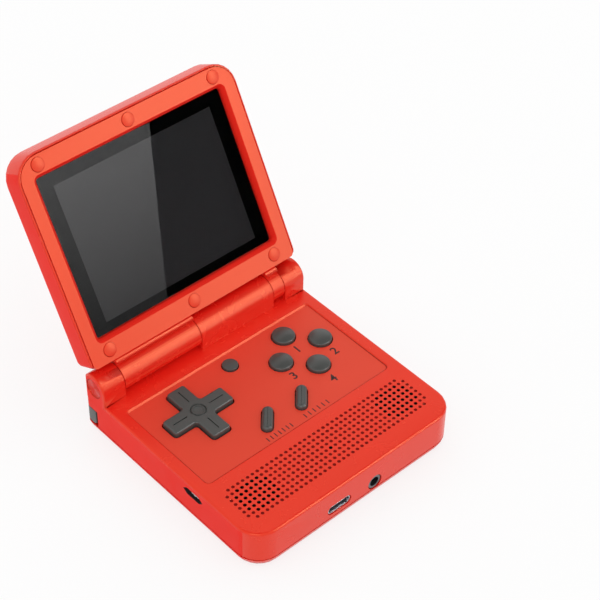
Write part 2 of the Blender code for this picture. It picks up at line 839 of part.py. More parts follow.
def build_ports():
    front = gap - half_depth
    half = usb_width / 2
    tall = usb_height / 2
    back = front + usb_depth
    body = rectangle(usb_x - half, usb_x + half, port_height - tall, port_height + tall, tall * usb_round_share)
    socket = slab("usb_socket", [body], front, back, "Y")
    half = half - usb_wall
    tall = tall - usb_wall
    mouth = rectangle(usb_x - half, usb_x + half, port_height - tall, port_height + tall,
                      tall * usb_round_share)
    cut(socket, slab("usb_mouth", [mouth], front - overrun, back - usb_wall * 4, "Y", cutters))
    half = usb_tongue_width / 2
    tall = usb_tongue_height / 2
    join(socket, box("usb_tongue", (usb_x - half, front + usb_wall * 3, port_height - tall),
                     (usb_x + half, back - usb_wall, port_height + tall), cutters))
    finish(socket, "steel")
    half = jack_body_width / 2
    start = wall + gap - half_depth
    top = board_low - gap
    jack = box("headphone_jack", (jack_x - half, start, top - jack_body_height),
               (jack_x + half, start + jack_body_length, top))
    join(jack, rod("jack_ring", (jack_x, jack_height), front, start + wall, jack_ring_radius, round_sides,
                   "Y", cutters))
    bore_end = start + jack_body_length * jack_bore_share
    cut(jack, rod("jack_bore", (jack_x, jack_height), front - overrun, bore_end, jack_bore_radius,
                  bore_sides, "Y", cutters))
    finish(jack, "dark_metal")
    end = half_width - wall - gap
    half = card_case_length / 2
    top = board_low - gap
    case = box("card_socket", (end - card_case_width, card_y - half, top - card_case_height),
               (end, card_y + half, top))
    half = card_slot_length / 2 - gap
    tall = card_slot_height / 2 - gap
    cut(case, box("card_mouth", (end - card_case_width * card_mouth_share, card_y - half, card_slot_z() - tall),
                  (end + overrun, card_y + half, card_slot_z() + tall), cutters))
    finish(case, "steel")


def build_volume_wheel():
    teeth = []
    for tooth in range(wheel_teeth):
        for share, radius in ((0.0, wheel_radius), (0.5, wheel_radius - wheel_tooth_depth)):
            angle = 2 * math.pi * (tooth + share) / wheel_teeth
            teeth.append((radius * math.cos(angle), radius * math.sin(angle)))
    half = wheel_thickness / 2
    wheel = slab("volume_wheel", [teeth, circle(0, 0, wheel_shaft_radius + gap, rivet_sides)], -half, half)
    inside = math.sqrt(wheel_radius ** 2 - (wheel_slot_length / 2 * wheel_reach_share) ** 2)
    wheel_x = wall - half_width + inside
    place(finish(wheel, "control"), (wheel_x, wheel_y, wheel_height))
    top = wheel_height - half - gap
    body = rod("volume_control_body", (wheel_x, wheel_y), board_top + gap, top, wheel_radius * wheel_body_share,
               bore_sides)
    join(body, rod("volume_shaft", (wheel_x, wheel_y), (board_top + top) / 2, wheel_height + half,
                   wheel_shaft_radius, rivet_sides, group=cutters))
    finish(body, "black_plastic")


def build_power_switch():
    inner = half_width - wall - gap
    half_y = switch_knob_length / 2
    half_z = switch_knob_height / 2
    knob = box("power_switch_knob", (inner - gap, -half_y, -half_z),
               (half_width + switch_proud, half_y, half_z))
    flange = box("switch_flange", (inner - switch_flange, -half_y - switch_flange, -half_z - switch_flange / 2),
                 (inner, half_y + switch_flange, half_z + switch_flange / 2), cutters)
    join(knob, flange)
    ribs = bmesh.new()
    for share in (-0.5, 0, 0.5):
        add_rod(ribs, (half_width + switch_proud + gap, share * half_y), -2 * half_z, 2 * half_z, 2 * gap, 6)
    cut(knob, new_piece("switch_ribs", ribs, cutters))
    place(finish(knob, "control"), (0, switch_y, wheel_height))
    end = inner - switch_flange - gap
    middle = switch_y + switch_travel / 2
    case = box("power_switch_case", (end - switch_case_width, middle - switch_case_length / 2, board_top + gap),
               (end, middle + switch_case_length / 2, board_top + gap + switch_case_height))
    finish(case, "steel")


def build_speakers():
    for name, side in (("left_speaker", -1), ("right_speaker", 1)):
        top = deck_under - gap
        rim = top - speaker_rim
        low = board_top + gap
        profile = [(0, top - speaker_rim / 2), (speaker_basket_radius, top - speaker_rim / 2),
                   (speaker_basket_radius, top), (speaker_radius, top), (speaker_radius, rim),
                   (speaker_basket_radius, rim), (speaker_basket_radius * speaker_taper_share, low), (0, low)]
        x, y = patch_centre(side)
        place(finish(turned(name, profile, bore_sides), "black_plastic"), (x, y, 0))


def build_pad():
    """Control cross: bevelled arms over a wider flange, a ringed dish in its middle and a mark on each arm."""
    top = base_height + pad_rise
    flange_top = deck_under - pad_flange_drop
    low = flange_top - pad_flange_thickness
    pivot = board_top + 2 * gap + pad_flange_thickness
    pad = slab("dpad", [cross_outline(pad_reach, pad_arm_width, pad_outer_corner, pad_inner_corner)],
               flange_top - pad_edge - pivot, top - pivot)
    soften(pad, pad_edge, 2, level(top - pivot))
    flange = slab("pad_flange", [cross_outline(pad_reach + pad_flange, pad_arm_width + 2 * pad_flange,
                                               pad_outer_corner, pad_inner_corner, 1)],
                  low - pivot, flange_top - pivot, group=cutters)
    join(pad, flange)
    ring = pad_dish_radius + pad_ring_width
    groove = turned("pad_dish", [(0, top + overrun - pivot), (ring, top + overrun - pivot),
                                 (ring, top - pad_dish_depth / 2 - pivot),
                                 (pad_dish_radius, top - pad_dish_depth - pivot),
                                 (0, top - pad_dish_depth - pivot)],
                    bore_sides, cutters)
    cut(pad, groove)
    marks = bmesh.new()
    for turn in range(4):
        angle = math.pi / 2 * turn
        middle = (pad_reach + pad_dish_radius) / 2
        made = bmesh.ops.create_cube(marks, size=1)
        bmesh.ops.scale(marks, verts=made["verts"], vec=(pad_mark_length, pad_mark_width, 2 * pad_mark_depth))
        bmesh.ops.translate(marks, verts=made["verts"], vec=(middle, 0, top - pivot))
        bmesh.ops.rotate(marks, verts=made["verts"], cent=(0, 0, 0), matrix=Matrix.Rotation(angle, 3, "Z"))
    cut(pad, new_piece("pad_marks", marks, cutters))
    place(finish(pad, "control"), (pad_x, pad_y, pivot))
    fulcrum_top = low - gap
    profile = [(0, fulcrum_top), (pad_dish_radius / 2, fulcrum_top), (pad_dish_radius, board_top + gap),
               (0, board_top + gap)]
    fulcrum = turned("dpad_fulcrum", [(radius, height - pivot) for radius, height in profile], bore_sides)
    place(finish(fulcrum, "black_plastic"), (pad_x, pad_y, pivot))
    sheet = cross_outline(pad_reach, pad_arm_width + pad_flange, pad_outer_corner, pad_inner_corner, 1)
    membrane = slab("dpad_membrane", [moved(sheet, pad_x, pad_y)], board_top + gap,
                    board_top + gap + membrane_thickness)
    cut(membrane, rod("dpad_membrane_hole", (pad_x, pad_y), board_top - overrun, board_top + overrun,
                      pad_dish_radius + gap, bore_sides, group=cutters))
    finish(membrane, "rubber")


def crown(radius, top, height, steps=3):
    """Profile of a shallow dome, from its middle out to its rim."""
    points = []
    for step in range(steps + 1):
        angle = math.pi / 2 * step / steps
        points.append((radius * math.sin(angle), top - height * (1 - math.cos(angle))))
    return points


def build_button(name, x, y, radius, rise, height, travel, post, sides=round_sides):
    """Round button: domed cap, flange under the deck and a plunger over its contact."""
    flange_top = deck_under - gap
    flange_low = flange_top - button_flange_thickness
    foot = board_top + gap + travel
    profile = crown(radius, base_height + rise, height)
    rim = radius + button_flange
    profile += [(radius, flange_top), (rim, flange_top), (rim, flange_low), (post, flange_low), (post, foot),
                (0, foot)]
    middle = base_height
    button = turned(name, [(across, up - middle) for across, up in profile], sides)
    place(finish(button, "control"), (x, y, middle))


def build_pill(name, x):
    """Slanted long button with a domed cap, drawn about its own middle."""
    flange_top = deck_under - gap
    flange_low = flange_top - button_flange_thickness
    foot = board_top + gap + pill_travel
    top = base_height + pill_rise
    middle = base_height
    pill = slab(name, [pill_outline(pill_length, pill_width)], flange_low + gap - middle, top - middle)
    soften(pill, pill_crown, 3, level(top - middle))
    outline = pill_outline(pill_length + 2 * button_flange, pill_width + 2 * button_flange)
    flange = slab(name + "_flange", [outline], flange_low - middle, flange_top - middle, group=cutters)
    join(pill, flange)
    join(pill, rod(name + "_plunger", (0, 0), foot - middle, flange_low + gap - middle, small_plunger_radius,
                   rivet_sides, group=cutters))
    place(finish(pill, "control"), (x, pill_y, middle))


def build_membrane(name, outline, places, post, travel):
    """Key membrane: a sheet with a raised collar round each plunger."""
    low = board_top + gap
    flange_low = deck_under - gap - button_flange_thickness
    membrane = slab(name, [outline], low, low + membrane_thickness)
    collars = bmesh.new()
    holes = bmesh.new()
    for x, y in places:
        add_rod(collars, (x, y), low + membrane_thickness / 2, flange_low - travel - gap,
                post + gap + membrane_wall, rivet_sides)
        add_rod(holes, (x, y), low - overrun, deck_under, post + gap, rivet_sides)
    join(membrane, new_piece(name + "_collars", collars, cutters))
    cut(membrane, new_piece(name + "_holes", holes, cutters))
    finish(membrane, "rubber")


def build_buttons():
    for name, (x, y) in action_offsets.items():
        build_button(name, action_x + x, action_y + y, action_radius, action_rise, action_crown, action_travel,
                     plunger_radius)
    build_button("menu_button", 0, menu_y, menu_radius, menu_rise, menu_rise, menu_travel, small_plunger_radius,
                 bore_sides)
    build_pill("select_button", select_x)
    build_pill("start_button", start_x)
    collar = plunger_radius + gap + 2 * membrane_wall
    reach = (action_spacing + collar) * membrane_reach_share
    diamond = rounded([(action_x + reach * across, action_y + reach * along, collar)
                       for across, along in ((0, -1), (1, 0), (0, 1), (-1, 0))])
    places = [(action_x + x, action_y + y) for x, y in action_offsets.values()]
    build_membrane("action_membrane", diamond, places, plunger_radius, action_travel)
    collar = small_plunger_radius + gap + 2 * membrane_wall
    build_membrane("menu_membrane", circle(0, menu_y, collar, post_sides), [(0, menu_y)], small_plunger_radius,
                   menu_travel)
    strip = rectangle(select_x - collar, start_x + collar, pill_y - collar, pill_y + collar, collar / 2, 3)
    build_membrane("select_start_membrane", strip, [(select_x, pill_y), (start_x, pill_y)], small_plunger_radius,
                   pill_travel)


def build_shoulders():
    """Corner and inner shoulder buttons in the back wall, with a switch board behind each pair."""
    high = shoulder_low + shoulder_height
    inner = half_depth - shoulder_thickness
    for side, word in ((-1, "left"), (1, "right")):
        outer = half_width
        corners = [(outer, half_depth - shoulder_front, 0), (outer, half_depth, back_corner),
                   (outer - shoulder_width, half_depth, 0), (outer - shoulder_width, inner, 0),
                   (outer - shoulder_thickness, inner, shoulder_thickness / 4),
                   (outer - shoulder_thickness, half_depth - shoulder_front, 0)]
        outline = [(side * x, y) for x, y in rounded(corners)]
        button = slab(word + "_shoulder_button", [outline], shoulder_low, high)
        front = half_depth - shoulder_front
        soften(button, shoulder_bevel, 1,
               lambda point, front=front: abs(point.y - front) < weld and abs(point.z - shoulder_low) < weld)
        finish(button, "control")
        start = outer - shoulder_width - gap
        ends = sorted((side * start, side * (start - shoulder_inner_width)))
        second = box(word + "_inner_shoulder_button", (ends[0], inner, shoulder_low),
                     (ends[1], half_depth, high))
        soften(second, shoulder_bevel / 2, 2, level(half_depth, 1))
        finish(second, "control")
        contact = inner - shoulder_travel - gap
        face = contact - trigger_switch_depth
        far = outer - wall - 2 * gap
        near = start - shoulder_inner_width
        ends = sorted((side * far, side * near))
        card = box(word + "_trigger_board", (ends[0], face - trigger_board_thickness, floor_thickness + gap),
                   (ends[1], face, high))
        middle = shoulder_low + shoulder_height / 2
        half = trigger_switch_size / 2
        switches = bmesh.new()
        for x in (outer - shoulder_width * trigger_place_share, start - shoulder_inner_width / 2):
            made = bmesh.ops.create_cube(switches, size=1)
            deep = trigger_switch_depth + trigger_board_thickness / 2
            bmesh.ops.scale(switches, verts=made["verts"], vec=(2 * half, deep, 2 * half))
            bmesh.ops.translate(switches, verts=made["verts"], vec=(side * x, contact - deep / 2, middle))
        join(card, new_piece(word + "_trigger_switches", switches, cutters))
        finish(card, "board")


def build_hinge_inserts():
    centre = (hinge_y, hinge_z)
    recess = cap_sink + cap_thickness + gap
    cartridge = rod("hinge_cartridge", centre, recess + gap - half_width, cartridge_reach - lobe_inner,
                    cartridge_radius, bore_sides, "X")
    finish(cartridge, "dark_metal")
    pin = rod("hinge_pin", centre, block_right - pin_reach, half_width - recess - gap, pin_radius,
              bore_sides, "X")
    finish(pin, "steel")
    for name, side in (("left_hinge_cap", -1), ("right_hinge_cap", 1)):
        rim = half_width - cap_sink
        profile = [(0, rim - cap_thickness / 3), (cap_radius * cap_crown_share, rim), (cap_radius, rim),
                   (cap_radius, rim - cap_thickness), (0, rim - cap_thickness)]
        cap = turned(name, profile, round_sides)
        cap.rotation_euler = (0, side * math.pi / 2, 0)
        place(finish(cap, "shell"), (0, *centre))


def build_base_screws():
    for index, (x, y) in enumerate(base_screw_places):
        profile = screw_profile(base_screw_length)
        screw = turned("base_screw_" + str(index + 1), profile, rivet_sides)
        screw.rotation_euler = (math.pi, 0, 0)
        place(finish(screw, "steel"), (x, y, screw_floor + screw_head_height - gap))


def screw_profile(length):
    """Pan head above zero, shank below it."""
    return [(0, screw_head_height), (screw_head_radius * screw_crown_share, screw_head_height),
            (screw_head_radius, screw_head_height / 2), (screw_head_radius, 0), (screw_shank_radius, 0),
            (screw_shank_radius, -length), (0, -length)]


def build_lid_cover(lid):
    """Rear cover of the lid, with its lip, posts, knuckles, necks and the strips under the bezel."""
    cover = slab("lid_rear_cover", [lid_outline(0)], lid_back, lid_front)
    soften(cover, lid_back_round, 3, level(lid_back))
    soften(cover, lid_lip_round, 1, level(lid_front))
    ledge = lid_front - bezel_thickness - gap
    side = half_width - lid_lip
    top = lid_top_corner - lid_lip
    rebate = rounded([(-side, lid_bottom - overrun, 0), (side, lid_bottom - overrun, 0),
                      (side, lid_top - lid_lip, top), (-side, lid_top - lid_lip, top)])
    cut(cover, slab("lid_rebate", [rebate], ledge, lid_front + overrun, group=cutters))
    floor = lid_back + lid_wall
    cut(cover, slab("lid_hollow", [lid_outline(lid_wall, 3)], floor, lid_front + overrun, group=cutters))
    posts = bmesh.new()
    holes = bmesh.new()
    for u, v in lid_screw_places:
        add_rod(posts, (u, v), floor - lid_wall / 2, lid_post_top(), lid_post_radius, rivet_sides)
        add_rod(holes, (u, v), lid_screw_seat() - lid_screw_length - gap, lid_front, screw_shank_radius + gap,
                rivet_sides)
    join(cover, new_piece("lid_posts", posts, cutters))
    for index, (low, high) in enumerate(knuckle_spans):
        number = str(index + 1)
        join(cover, rod("knuckle_" + number, (0, 0), low, high, barrel_radius, barrel_sides, "X", cutters))
        deep = lid_bottom + lid_wall * neck_root_share
        neck = [(0, lid_back), (deep, lid_back), (deep, neck_front), (0, neck_front)]
        join(cover, slab("neck_" + number, [neck], low, high, "X", cutters))
        strip_back = lid_front - strip_thickness
        strip = [(lid_bottom - strip_drop, strip_back), (lid_bottom - gap, strip_back),
                 (lid_bottom - gap, lid_front - strip_sink), (lid_bottom - strip_drop, lid_front)]
        join(cover, slab("strip_" + number, [strip], low, high, "X", cutters))
    cut(cover, new_piece("lid_post_holes", holes, cutters))
    bores = bmesh.new()
    add_rod(bores, (0, 0), -lobe_inner, cartridge_reach - lobe_inner + gap, cartridge_radius + gap,
            bore_sides, "X")
    add_rod(bores, (0, 0), block_right, lobe_inner, pin_radius + gap, bore_sides, "X")
    cut(cover, new_piece("knuckle_bores", bores, cutters))
    place(finish(cover, "shell"), (0, 0, 0), lid)


def lid_screw_seat():
    return lid_front - cover_thickness - 2 * gap - screw_head_height


def lid_post_top():
    return lid_screw_seat() - bezel_thickness


def lens_outline(inset, corner):
    half = lens_width / 2 - inset
    return rectangle(-half, half, lens_bottom + inset, lens_bottom + lens_height - inset, corner)


def build_bezel(lid):
    """Front frame of the lid: flared window, ledge for the lens, and a post behind each screw."""
    side = half_width - lid_lip - gap
    top = lid_top - lid_lip - gap
    corner = lid_top_corner - lid_lip - gap
    plate = rounded([(-side, lid_bottom, bezel_bottom_corner), (side, lid_bottom, bezel_bottom_corner),
                     (side, top, corner), (-side, top, corner)])
    low = lid_front - bezel_thickness
    bezel = slab("lid_bezel", [plate], low, lid_front)
    pocket = lid_front - lens_sink - lens_thickness - gap
    ledge = pocket - ledge_thickness
    outline = lens_outline(-frame_border, lens_corner + frame_border)
    join(bezel, slab("window_frame", [outline], ledge, low + gap, group=cutters))
    posts = bmesh.new()
    heads = bmesh.new()
    holes = bmesh.new()
    covers = bmesh.new()
    for u, v in lid_screw_places:
        add_rod(posts, (u, v), lid_post_top() + gap, low + gap, bezel_post_radius, rivet_sides)
        add_rod(covers, (u, v), lid_front - cover_thickness - gap, lid_front + overrun, cover_radius + gap,
                bore_sides)
        add_rod(heads, (u, v), lid_screw_seat() - gap, lid_front, screw_head_radius + gap, rivet_sides)
        add_rod(holes, (u, v), ledge - overrun, lid_front, screw_shank_radius + gap,
                rivet_sides)
    half = display_width / 2 + display_margin
    opening = rectangle(-half, half, display_bottom - display_margin,
                        display_bottom + display_height + display_margin)
    cut(bezel, slab("display_opening", [opening], ledge - overrun, lid_front + overrun, group=cutters))
    straight = lens_outline(0, lens_corner)
    flared = lens_outline(-window_flare - overrun, lens_corner + window_flare + overrun)
    cut(bezel, loft("lens_pocket", [(straight, pocket), (straight, lid_front - window_flare),
                                    (flared, lid_front + overrun)], cutters))
    join(bezel, new_piece("bezel_posts", posts, cutters))
    cut(bezel, new_piece("cover_recesses", covers, cutters), new_piece("bezel_head_holes", heads, cutters),
        new_piece("bezel_screw_holes", holes, cutters))
    place(finish(bezel, "bezel"), (0, 0, 0), lid)
    lens_top = lid_front - lens_sink
    lens = slab("screen_lens", [lens_outline(gap, lens_corner)], lens_top - lens_thickness, lens_top)
    place(finish(lens, "lens"), (0, 0, 0), lid)
    half = display_width / 2 + module_border
    module = slab("lcd_module", [rectangle(-half, half, display_bottom - module_border,
                                           display_bottom + display_height + module_border)],
                  ledge - gap - module_thickness, ledge - gap)
    place(finish(module, "display"), (0, 0, 0), lid)


def build_lid_fasteners(lid):
    for index, (u, v) in enumerate(lid_screw_places):
        number = str(index + 1)
        cover = rod("screw_cover_" + number, (0, 0), -cover_thickness, 0, cover_radius, bore_sides)
        place(finish(cover, "bezel"), (u, v, lid_front), lid)
        screw = turned("lid_screw_" + number, screw_profile(lid_screw_length), rivet_sides)
        place(finish(screw, "steel"), (u, v, lid_screw_seat()), lid)


def build_lid():
    """The lid is drawn flat, from the hinge along Y with its screen up, and stood up by its hinge axis."""
    lid = bpy.data.objects.new("lid_hinge_axis", None)
    parts.objects.link(lid)
    lid.location = (0, hinge_y, hinge_z)
    lid.rotation_euler = (math.pi - math.radians(lid_open_degrees), 0, 0)
    build_lid_cover(lid)
    build_bezel(lid)
    build_lid_fasteners(lid)


build_top_shell()
build_bottom_shell()
build_battery()
build_board()
build_ports()
build_volume_wheel()
build_power_switch()
build_speakers()
build_pad()
build_buttons()
build_shoulders()
build_hinge_inserts()
build_base_screws()
build_lid()
bpy.context.view_layer.update()
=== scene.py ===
import math

import bmesh
import bpy
from mathutils import Matrix, Vector


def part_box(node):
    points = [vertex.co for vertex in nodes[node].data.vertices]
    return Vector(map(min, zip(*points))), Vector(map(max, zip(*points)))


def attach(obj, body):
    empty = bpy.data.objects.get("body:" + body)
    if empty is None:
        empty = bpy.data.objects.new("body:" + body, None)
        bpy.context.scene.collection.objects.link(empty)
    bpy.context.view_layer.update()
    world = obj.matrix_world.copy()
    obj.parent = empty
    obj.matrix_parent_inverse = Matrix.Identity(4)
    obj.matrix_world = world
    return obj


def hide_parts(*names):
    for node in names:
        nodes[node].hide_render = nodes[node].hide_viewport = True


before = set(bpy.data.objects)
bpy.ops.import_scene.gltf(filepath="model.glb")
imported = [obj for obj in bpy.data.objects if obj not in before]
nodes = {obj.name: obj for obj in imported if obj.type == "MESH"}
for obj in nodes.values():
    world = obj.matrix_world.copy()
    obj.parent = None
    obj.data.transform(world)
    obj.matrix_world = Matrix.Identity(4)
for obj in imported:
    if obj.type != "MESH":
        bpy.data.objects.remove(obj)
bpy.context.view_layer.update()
scene = bpy.context.scene
print("console: frame loaded,", len(nodes), "nodes")

# Where the console's main surfaces are, in metres
body = {"halfWidth": 0.0419, "deckTop": 0.0148, "panelTop": 0.0143, "deckUnder": 0.0130, "clearance": 0.0003}
hinge = {"y": 0.03575, "z": 0.0196, "openAngle": 118.6, "radius": 0.0052, "bezelFront": 0.0045}
lidPlace = (Matrix.Translation((0, hinge["y"], hinge["z"]))
            @ Matrix.Rotation(math.radians(180 - hinge["openAngle"]), 4, "X"))
sameSpot, sameLevel = 0.000001, 0.00001  # closer than this, two points or two heights count as one


def middle(name):
    low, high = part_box(name)
    return (low + high) / 2


# Small helpers for nodes, meshes and pieces
def addNode(tree, kind, place=(0, 0), **inputs):
    node = tree.nodes.new(kind)
    node.location = place
    for name, value in inputs.items():
        node.inputs[name.replace("_", " ")].default_value = value
    return node


def newMaterial(name, colour, roughness, **sockets):
    made = bpy.data.materials.new(name)
    made.use_nodes = True
    made.diffuse_color = (*colour, 1)
    shader = made.node_tree.nodes["Principled BSDF"]
    shader.inputs["Base Color"].default_value = (*colour, 1)
    shader.inputs["Roughness"].default_value = roughness
    for socket, value in sockets.items():
        shader.inputs[socket.replace("_", " ")].default_value = value
    return made, made.node_tree, shader


def newGroup(name, ins, outs):
    group = bpy.data.node_groups.new(name, "ShaderNodeTree")
    for label, kind, value in ins:
        socket = group.interface.new_socket(label, in_out="INPUT", socket_type=kind)
        if value is not None:
            socket.default_value = value
    for label, kind in outs:
        group.interface.new_socket(label, in_out="OUTPUT", socket_type=kind)
    return group, group.nodes.new("NodeGroupInput").outputs, group.nodes.new("NodeGroupOutput").inputs


def mathNode(tree, operation, first, second, third=None):
    node = tree.nodes.new("ShaderNodeMath")
    node.operation = operation
    for socket, value in zip(node.inputs, (first, second, third)):
        if isinstance(value, bpy.types.NodeSocket):
            tree.links.new(value, socket)
        elif value is not None:
            socket.default_value = value
    return node.outputs[0]


def spread(tree, value, low, high, fromLow=0.0, fromHigh=1.0):
    node = addNode(tree, "ShaderNodeMapRange")
    tree.links.new(value, node.inputs["Value"])
    node.inputs["From Min"].default_value = fromLow
    node.inputs["From Max"].default_value = fromHigh
    node.inputs["To Min"].default_value = low
    node.inputs["To Max"].default_value = high
    return node.outputs["Result"]


def dressPiece(mesh, name, rider, looks, replaces=(), slot=None, sharp=40, even=True):
    piece = bpy.data.objects.new(name, mesh)
    scene.collection.objects.link(piece)
    mesh.materials.clear()
    for look in looks if isinstance(looks, list) else [looks]:
        mesh.materials.append(look)
    mesh.shade_smooth()
    mesh.set_sharp_from_angle(angle=math.radians(sharp))
    if even:
        keep = piece.modifiers.new("evenShading", "WEIGHTED_NORMAL")
        keep.keep_sharp = True
        keep.weight = 80
    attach(piece, rider)
    if replaces:
        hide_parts(*replaces)
    return piece


def meshFrom(form, name):
    mesh = bpy.data.meshes.new(name)
    form.to_mesh(mesh)
    form.free()
    return mesh


def makePiece(form, name, rider, looks, matrix=None, **rest):
    if matrix is not None:
        bmesh.ops.transform(form, matrix=matrix, verts=form.verts)
    return dressPiece(meshFrom(form, name), name, rider, looks, **rest)


def copiedForm(nodeName):
    form = bmesh.new()
    form.from_mesh(nodes[nodeName].data)
    bmesh.ops.remove_doubles(form, verts=form.verts, dist=2 * sameSpot)
    bmesh.ops.dissolve_limit(form, angle_limit=math.radians(0.5), verts=form.verts, edges=form.edges)
    return form


def softenEdges(form, edges, offset, segments):
    bmesh.ops.bevel(form, geom=edges, offset=offset, segments=segments, profile=0.5, affect="EDGES",
                    material=-1, clamp_overlap=False)


def carve(form, tools, name):
    raw = bpy.data.objects.new(name + "Raw", meshFrom(form, name + "Raw"))
    scene.collection.objects.link(raw)
    tool = bpy.data.objects.new(name + "Tool", meshFrom(tools, name + "Tool"))
    scene.collection.objects.link(tool)
    cut = raw.modifiers.new("carve", "BOOLEAN")
    cut.operation = "DIFFERENCE"
    cut.solver = "EXACT"
    cut.object = tool
    bpy.context.view_layer.update()
    done = bpy.data.meshes.new_from_object(raw.evaluated_get(bpy.context.evaluated_depsgraph_get()))
    done.name = name
    for item in (raw, tool):
        bpy.data.objects.remove(item)
    return done


def spun(form, profile, steps):
    turned = bmesh.new()
    points = [turned.verts.new((radius, 0, height)) for radius, height in profile]
    edges = [turned.edges.new(pair) for pair in zip(points, points[1:])]
    bmesh.ops.spin(turned, geom=points + edges, cent=(0, 0, 0), axis=(0, 0, 1), angle=math.tau, steps=steps,
                   use_merge=True)
    bmesh.ops.remove_doubles(turned, verts=turned.verts, dist=sameSpot)
    bmesh.ops.dissolve_degenerate(turned, dist=sameSpot, edges=turned.edges)
    bmesh.ops.recalc_face_normals(turned, faces=turned.faces)
    scrap = meshFrom(turned, "turned")
    before = len(form.verts)
    form.from_mesh(scrap)
    bpy.data.meshes.remove(scrap)
    form.verts.ensure_lookup_table()
    return form.verts[before:]


def block(form, size, centre, corner=0.0, steps=6, turn=0.0):
    made = bmesh.ops.create_cube(form, size=1)["verts"]
    bmesh.ops.scale(form, verts=made, vec=size)
    faces = {face for point in made for face in point.link_faces}
    if corner:
        upright = {edge for face in faces for edge in face.edges
                   if abs(edge.verts[0].co.z - edge.verts[1].co.z) > size[2] / 2}
        done = bmesh.ops.bevel(form, geom=list(upright), offset=corner, segments=steps, profile=0.5,
                               affect="EDGES", material=-1, clamp_overlap=False)
        made = list({point for face in faces if face.is_valid for point in face.verts} | set(done["verts"]))
    if turn:
        bmesh.ops.rotate(form, verts=made, cent=(0, 0, 0), matrix=Matrix.Rotation(turn, 3, "Z"))
    bmesh.ops.translate(form, verts=made, vec=centre)
    return made


def rimAt(form, height, least=30):
    return [edge for edge in form.edges if edge.calc_face_angle(0) > math.radians(least)
            and all(abs(point.co.z - height) < sameSpot for point in edge.verts)]


# Camera, at the photograph's viewing angle
view = {"lens": 104.461936, "place": (-0.25140479, -0.28331356, 0.40903790),
        "right": (0.74231217, -0.66987741, 0.01539182), "down": (-0.44784876, -0.51309974, -0.73222957),
        "ahead": (0.49840158, 0.53664971, -0.68088395), "clip": (0.02, 20)}
camera = bpy.data.cameras.new("camera")
camera.lens = view["lens"]
camera.clip_start, camera.clip_end = view["clip"]
cameraObject = bpy.data.objects.new("camera", camera)
scene.collection.objects.link(cameraObject)
cameraObject.matrix_world = Matrix([(right, -down, -ahead, place) for right, down, ahead, place
                                    in zip(view["right"], view["down"], view["ahead"], view["place"])]
                                   + [(0, 0, 0, 1)])
scene.camera = cameraObject
print("console: camera set")


# Effects that several materials share
def buildGrain():
    group, into, out = newGroup("fineGrain", [("Vector", "NodeSocketVector", None),
                                              ("Scale", "NodeSocketFloat", 2400.0),
                                              ("Depth", "NodeSocketFloat", 0.5)], [("Height", "NodeSocketFloat")])
    pits = addNode(group, "ShaderNodeTexNoise", Detail=2.0, Roughness=0.55)
    cells = addNode(group, "ShaderNodeTexVoronoi")
    for texture in (pits, cells):
        group.links.new(into["Vector"], texture.inputs["Vector"])
        group.links.new(into["Scale"], texture.inputs["Scale"])
    both = mathNode(group, "MULTIPLY_ADD", cells.outputs["Distance"], 0.45, pits.outputs["Fac"])
    group.links.new(mathNode(group, "MULTIPLY", both, into["Depth"]), out["Height"])
    return group


def buildHandling():
    group, into, out = newGroup("handling", [("Vector", "NodeSocketVector", None),
                                             ("Colour", "NodeSocketColor", None),
                                             ("Tone", "NodeSocketFloat", 0.06),
                                             ("Roughness", "NodeSocketFloat", 0.4),
                                             ("Spread", "NodeSocketFloat", 0.06)],
                                [("Colour", "NodeSocketColor"), ("Roughness", "NodeSocketFloat")])
    broad = addNode(group, "ShaderNodeTexNoise", Scale=38.0, Detail=3.0, Roughness=0.5)
    smear = addNode(group, "ShaderNodeTexNoise", Scale=130.0, Detail=5.0, Roughness=0.6, Distortion=0.8)
    for texture in (broad, smear):
        group.links.new(into["Vector"], texture.inputs["Vector"])
    shift = spread(group, broad.outputs["Fac"], -1.0, 1.0, 0.3, 0.7)
    tint = addNode(group, "ShaderNodeHueSaturation")
    group.links.new(mathNode(group, "MULTIPLY_ADD", shift, into["Tone"], 1.0), tint.inputs["Value"])
    group.links.new(into["Colour"], tint.inputs["Color"])
    group.links.new(tint.outputs["Color"], out["Colour"])
    swing = spread(group, smear.outputs["Fac"], -1.0, 1.0, 0.3, 0.7)
    group.links.new(mathNode(group, "MULTIPLY_ADD", swing, into["Spread"], into["Roughness"]), out["Roughness"])
    return group


grain = buildGrain()
handling = buildHandling()


def mouldedPlastic(name, colour, roughness, tone=0.02, spreadOut=0.04, grainScale=2400.0, grainDepth=0.02,
                   bump=0.000004, **sockets):
    made, tree, shader = newMaterial(name, colour, roughness, **sockets)
    coords = addNode(tree, "ShaderNodeTexCoord", (-1300, 0)).outputs["Object"]
    marks = addNode(tree, "ShaderNodeGroup", (-600, 200))
    marks.node_tree = handling
    for label, value in (("Colour", (*colour, 1)), ("Tone", tone), ("Roughness", roughness), ("Spread", spreadOut)):
        marks.inputs[label].default_value = value
    texture = addNode(tree, "ShaderNodeGroup", (-600, -150))
    texture.node_tree = grain
    texture.inputs["Scale"].default_value = grainScale
    texture.inputs["Depth"].default_value = grainDepth
    for user in (marks, texture):
        tree.links.new(coords, user.inputs["Vector"])
    tree.links.new(marks.outputs["Colour"], shader.inputs["Base Color"])
    tree.links.new(marks.outputs["Roughness"], shader.inputs["Roughness"])
    relief = addNode(tree, "ShaderNodeBump", (-300, -200))
    relief.inputs["Distance"].default_value = bump
    tree.links.new(texture.outputs["Height"], relief.inputs["Height"])
    tree.links.new(relief.outputs["Normal"], shader.inputs["Normal"])
    return made


